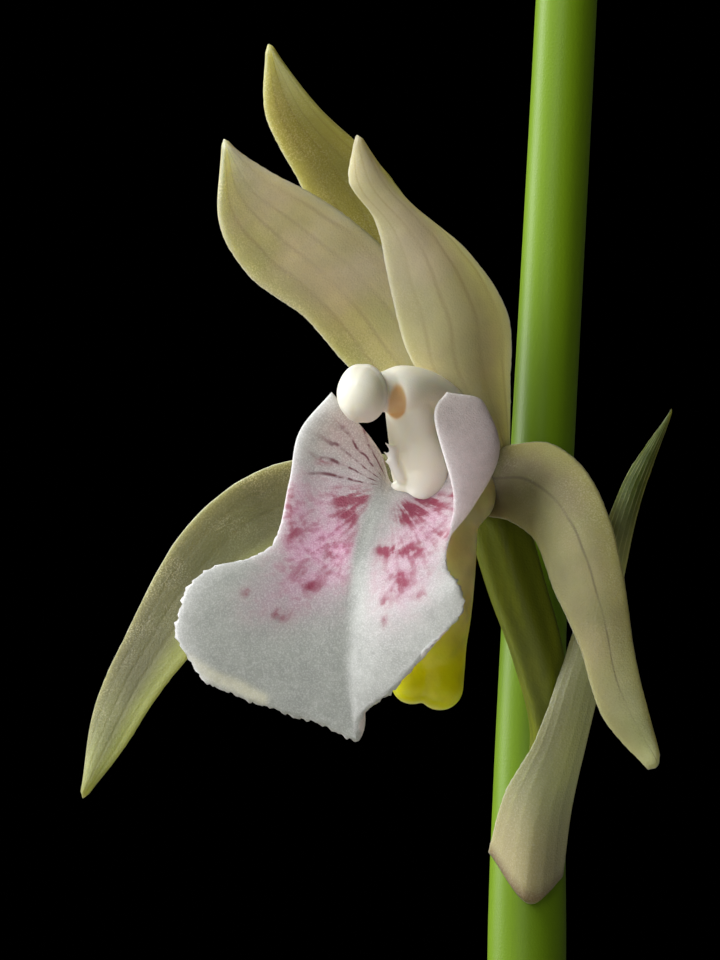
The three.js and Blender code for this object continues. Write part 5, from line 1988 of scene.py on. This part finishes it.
    def tepals(self) -> dict[str, tuple[Part, Dress]]:
        """Sepals and petals by node name, each with its finish.

        Returns:
            A blade and its finish for each node name.
        """
        form = BladeForm(46, 100, 0.36, 0.12, 0.008, keel=0.08)
        if not self.fine:
            form = replace(form, across=12, along=24)
        turned = replace(form, facing=-1)
        blades = {
            "dorsal_sepal": (DORSAL_SEPAL, form, Dress.DORSAL),
            "petal_left": (PETAL_LEFT, form, Dress.PETAL),
            "petal_right": (PETAL_RIGHT, form, Dress.PETAL_OUTER),
            "lateral_sepal_left": (LATERAL_SEPAL_LEFT, turned, Dress.LATERAL),
            "lateral_sepal_right": (LATERAL_SEPAL_RIGHT, form, Dress.LATERAL_NEAR),
        }
        return {name: (blade_part(rails, shape), dress) for name, (rails, shape, dress) in blades.items()}

    def stalk(self) -> list[Part]:
        """The ovary on its stalk, with the hub that the sepals leave.

        Returns:
            The ovary and the hub.
        """

        def ribs(place: np.ndarray, angle: np.ndarray) -> np.ndarray:
            """Six low ribs that turn with the stalk."""
            return 1 + 0.05 * np.cos(6 * angle + 3 * place) * ease(0.05, 0.4, place)

        sides, steps = (72, 110) if self.fine else (18, 16)
        return [limb_part(OVARY, sides, steps, ribs), limb_part(HUB, sides, 6)]

    def bract(self) -> Part:
        """The bract under the flower's stalk."""
        form = BladeForm(40, 90, 0.3, 0.12, 0.01)
        return blade_part(BRACT, form if self.fine else replace(form, across=12, along=20))


@dataclass
class NearBloom:
    """The lowest flower, which faces the viewer, in its own pieces."""

    at: tuple[float, float, float] = (19, -9, 285)

    def build(self) -> None:
        """Make every piece of the flower."""
        flower, place = Flower(True), np.array(Matrix.Translation(Vector(self.at)))
        hand_over(piece("ribbed_ovary", flower.stalk(), [Dress.OVARY], place), "ovary")
        hand_over(piece("clasping_bract", [flower.bract()], [Dress.BRACT], place), "bract")
        hand_over(piece("ivory_column", flower.column(), [Dress.COLUMN], place), "column")
        hand_over(piece("round_anther_cap", [flower.cap()], [Dress.COLUMN], place), "anther_cap")
        hand_over(piece("spurred_lip", flower.lip(), [Dress.LIP, Dress.SPUR], place), "lip")
        for node, (part, dress) in flower.tepals().items():
            hand_over(piece(f"waxy_{node}", [part], [dress], place), node)


@dataclass
class OtherBlooms:
    """The flowers further up the stem, each in a green and a white piece."""

    places: Sequence[tuple[float, float, float]] = (
        (313.5, 152, 0.97), (340, -78, 0.94), (364, 66, 0.9), (386, 200, 0.85),
    )

    def build(self) -> None:
        """Make both pieces of each flower."""
        for number, (z, turn, size) in enumerate(self.places, 2):
            flower, place = Flower(False), place_on_stem(z, turn, size)
            greens = [*flower.stalk(), limb_part(AXIL, 14, 4)]
            dresses = [Dress.OVARY, Dress.BRACT]
            parts = greens + [flower.bract().dressed(1)]
            for part, dress in flower.tepals().values():
                dresses.append(dress)
                parts.append(part.dressed(len(dresses) - 1))
            green = piece(f"bloom_{number}_sepals", parts, dresses, place)
            hand_over(green, f"flower_{number}_green")
            whites = flower.lip() + [part.dressed(2) for part in [*flower.column(), flower.cap()]]
            white = piece(f"bloom_{number}_lip", whites, [Dress.LIP, Dress.SPUR, Dress.COLUMN], place)
            hand_over(white, f"flower_{number}_white")


@dataclass
class Buds:
    """The closed buds at the head of the stem."""

    places: Sequence[tuple[float, float, float]] = (
        (404, -40, 0.9), (418, 110, 0.74), (430, 245, 0.58), (439, 20, 0.45),
    )

    def build(self) -> None:
        """Make each bud with its stalk and bract."""

        def furrows(place: np.ndarray, angle: np.ndarray) -> np.ndarray:
            """Three furrows where the sepals meet."""
            return 1 - 0.07 * ease(0.35, 0.6, place) * np.exp(-((np.cos(1.5 * angle) / 0.25) ** 2))

        for number, (z, turn, size) in enumerate(self.places, 1):
            parts = [limb_part(BUD, 36, 48, furrows), limb_part(AXIL, 16, 4),
                     blade_part(BUD_BRACT, BladeForm(16, 24, 0.3, 0.12)).dressed(1)]
            bud = piece(f"closed_bud_{number}", parts, [Dress.BUD, Dress.BRACT], place_on_stem(z, turn, size))
            hand_over(bud, f"bud_{number}")


# The studio


@dataclass
class Studio:
    """Pale floor, soft light from the left front, a dark room and a long lens level with the lowest flower."""

    floor_radius: float = 4.5
    eye: tuple[float, float, float] = (14.63, -225.5, 295.66)
    lens: float = 300

    def floor(self) -> None:
        """Make the floor."""
        angles = np.linspace(0, 2 * math.pi, 96, endpoint=False)
        rings = [np.stack([r * np.cos(angles), r * np.sin(angles), 0 * angles], -1) for r in (0.5, self.floor_radius)]
        points = np.concatenate(rings)
        faces = [tuple(range(96))] + [(i, 96 + i, 96 + (i + 1) % 96, (i + 1) % 96) for i in range(96)]
        mesh = bpy.data.meshes.new("floor")
        mesh.from_pydata(points.tolist(), [], faces)
        mesh.materials.append(wear(Dress.FLOOR))
        show(mesh, "floor")

    def light(self, name: str, at: tuple[float, float, float], aim: tuple[float, float, float], size: float,
              power: float, tint: str) -> None:
        """Make one soft light.

        Args:
            name: Its name.
            at: Where it hangs, in metres.
            aim: What it points at, in metres.
            size: Its width, in metres.
            power: Its power in watts.
            tint: Its colour.
        """
        lamp = bpy.data.lights.new(name, "AREA")
        lamp.shape, lamp.size, lamp.energy, lamp.color = "DISK", size, power, linear(tint)[:3]
        thing = bpy.data.objects.new(name, lamp)
        thing.location = at
        thing.rotation_euler = (Vector(aim) - Vector(at)).to_track_quat("-Z", "Y").to_euler()
        thing.visible_camera = False
        bpy.context.scene.collection.objects.link(thing)

    def room(self) -> None:
        """Make the room: dark to the eye, with a low even light on the plant."""
        world = bpy.data.worlds.new("dark room")
        bpy.context.scene.world = world
        world.use_nodes = True
        tree = world.node_tree
        tree.nodes.clear()
        seen = add(tree, "ShaderNodeLightPath", out="Is Camera Ray")
        power = add(tree, Kind.SPAN, seen, 0.0, 1.0, 0.02, 0.0)
        back = add(tree, "ShaderNodeBackground", {"Color": linear("dfe6ee"), "Strength": power})
        add(tree, "ShaderNodeOutputWorld", {"Surface": back})

    def camera(self) -> None:
        """Make the camera."""
        made = bpy.data.cameras.new("eye")
        made.lens, made.sensor_width, made.clip_start, made.clip_end = self.lens, 36, 0.01, 50
        thing = bpy.data.objects.new("eye", made)
        thing.location = Vector(self.eye) * MM
        thing.rotation_euler = (math.pi / 2, 0, 0)
        bpy.context.scene.collection.objects.link(thing)
        bpy.context.scene.camera = thing

    def build(self) -> None:
        """Make the whole studio."""
        self.camera()
        self.floor()
        self.room()
        self.light("key", (-0.52, -0.44, 0.84), (0.01, 0, 0.28), 0.4, 6.0, "ffffff")
        self.light("front", (-0.28, -0.85, 0.5), (0.01, 0, 0.28), 0.4, 1.3, "ffffff")
        self.light("side", (-0.72, 0.1, 0.5), (0.01, 0, 0.28), 0.4, 4.8, "ffffff")
        self.light("back", (-0.1, 0.75, 0.7), (0.01, 0, 0.25), 0.5, 2.5, "ffffff")
        bpy.context.scene.view_settings.view_transform = "Standard"


GROWTHS = (
    Growth(1, (-28, 15), 25, 7.6, 128, 146, 37, 66, 4),
    Growth(2, (-11.5, 7.5), 30, 8.8, 196, 178, 43, 70, 14),
    Growth(3, (6.5, -2), 33, 9.2, 42, 170, 45, 68, 8),
    Growth(4, (25, -4.5), 19, 5.8, -20, 96, 25, 74, 30),
)


def main() -> None:
    """Build the studio, the pot and the plant."""
    logging.basicConfig(level=logging.INFO, format="%(message)s")
    Studio().build()
    pot = Pot()
    pot.build()
    PottingMix(pot).build()
    Roots().build()
    for growth in GROWTHS:
        growth.build()
    FlowerStem().build()
    NearBloom().build()
    OtherBlooms().build()
    Buds().build()


if __name__ == "__main__":
    main()
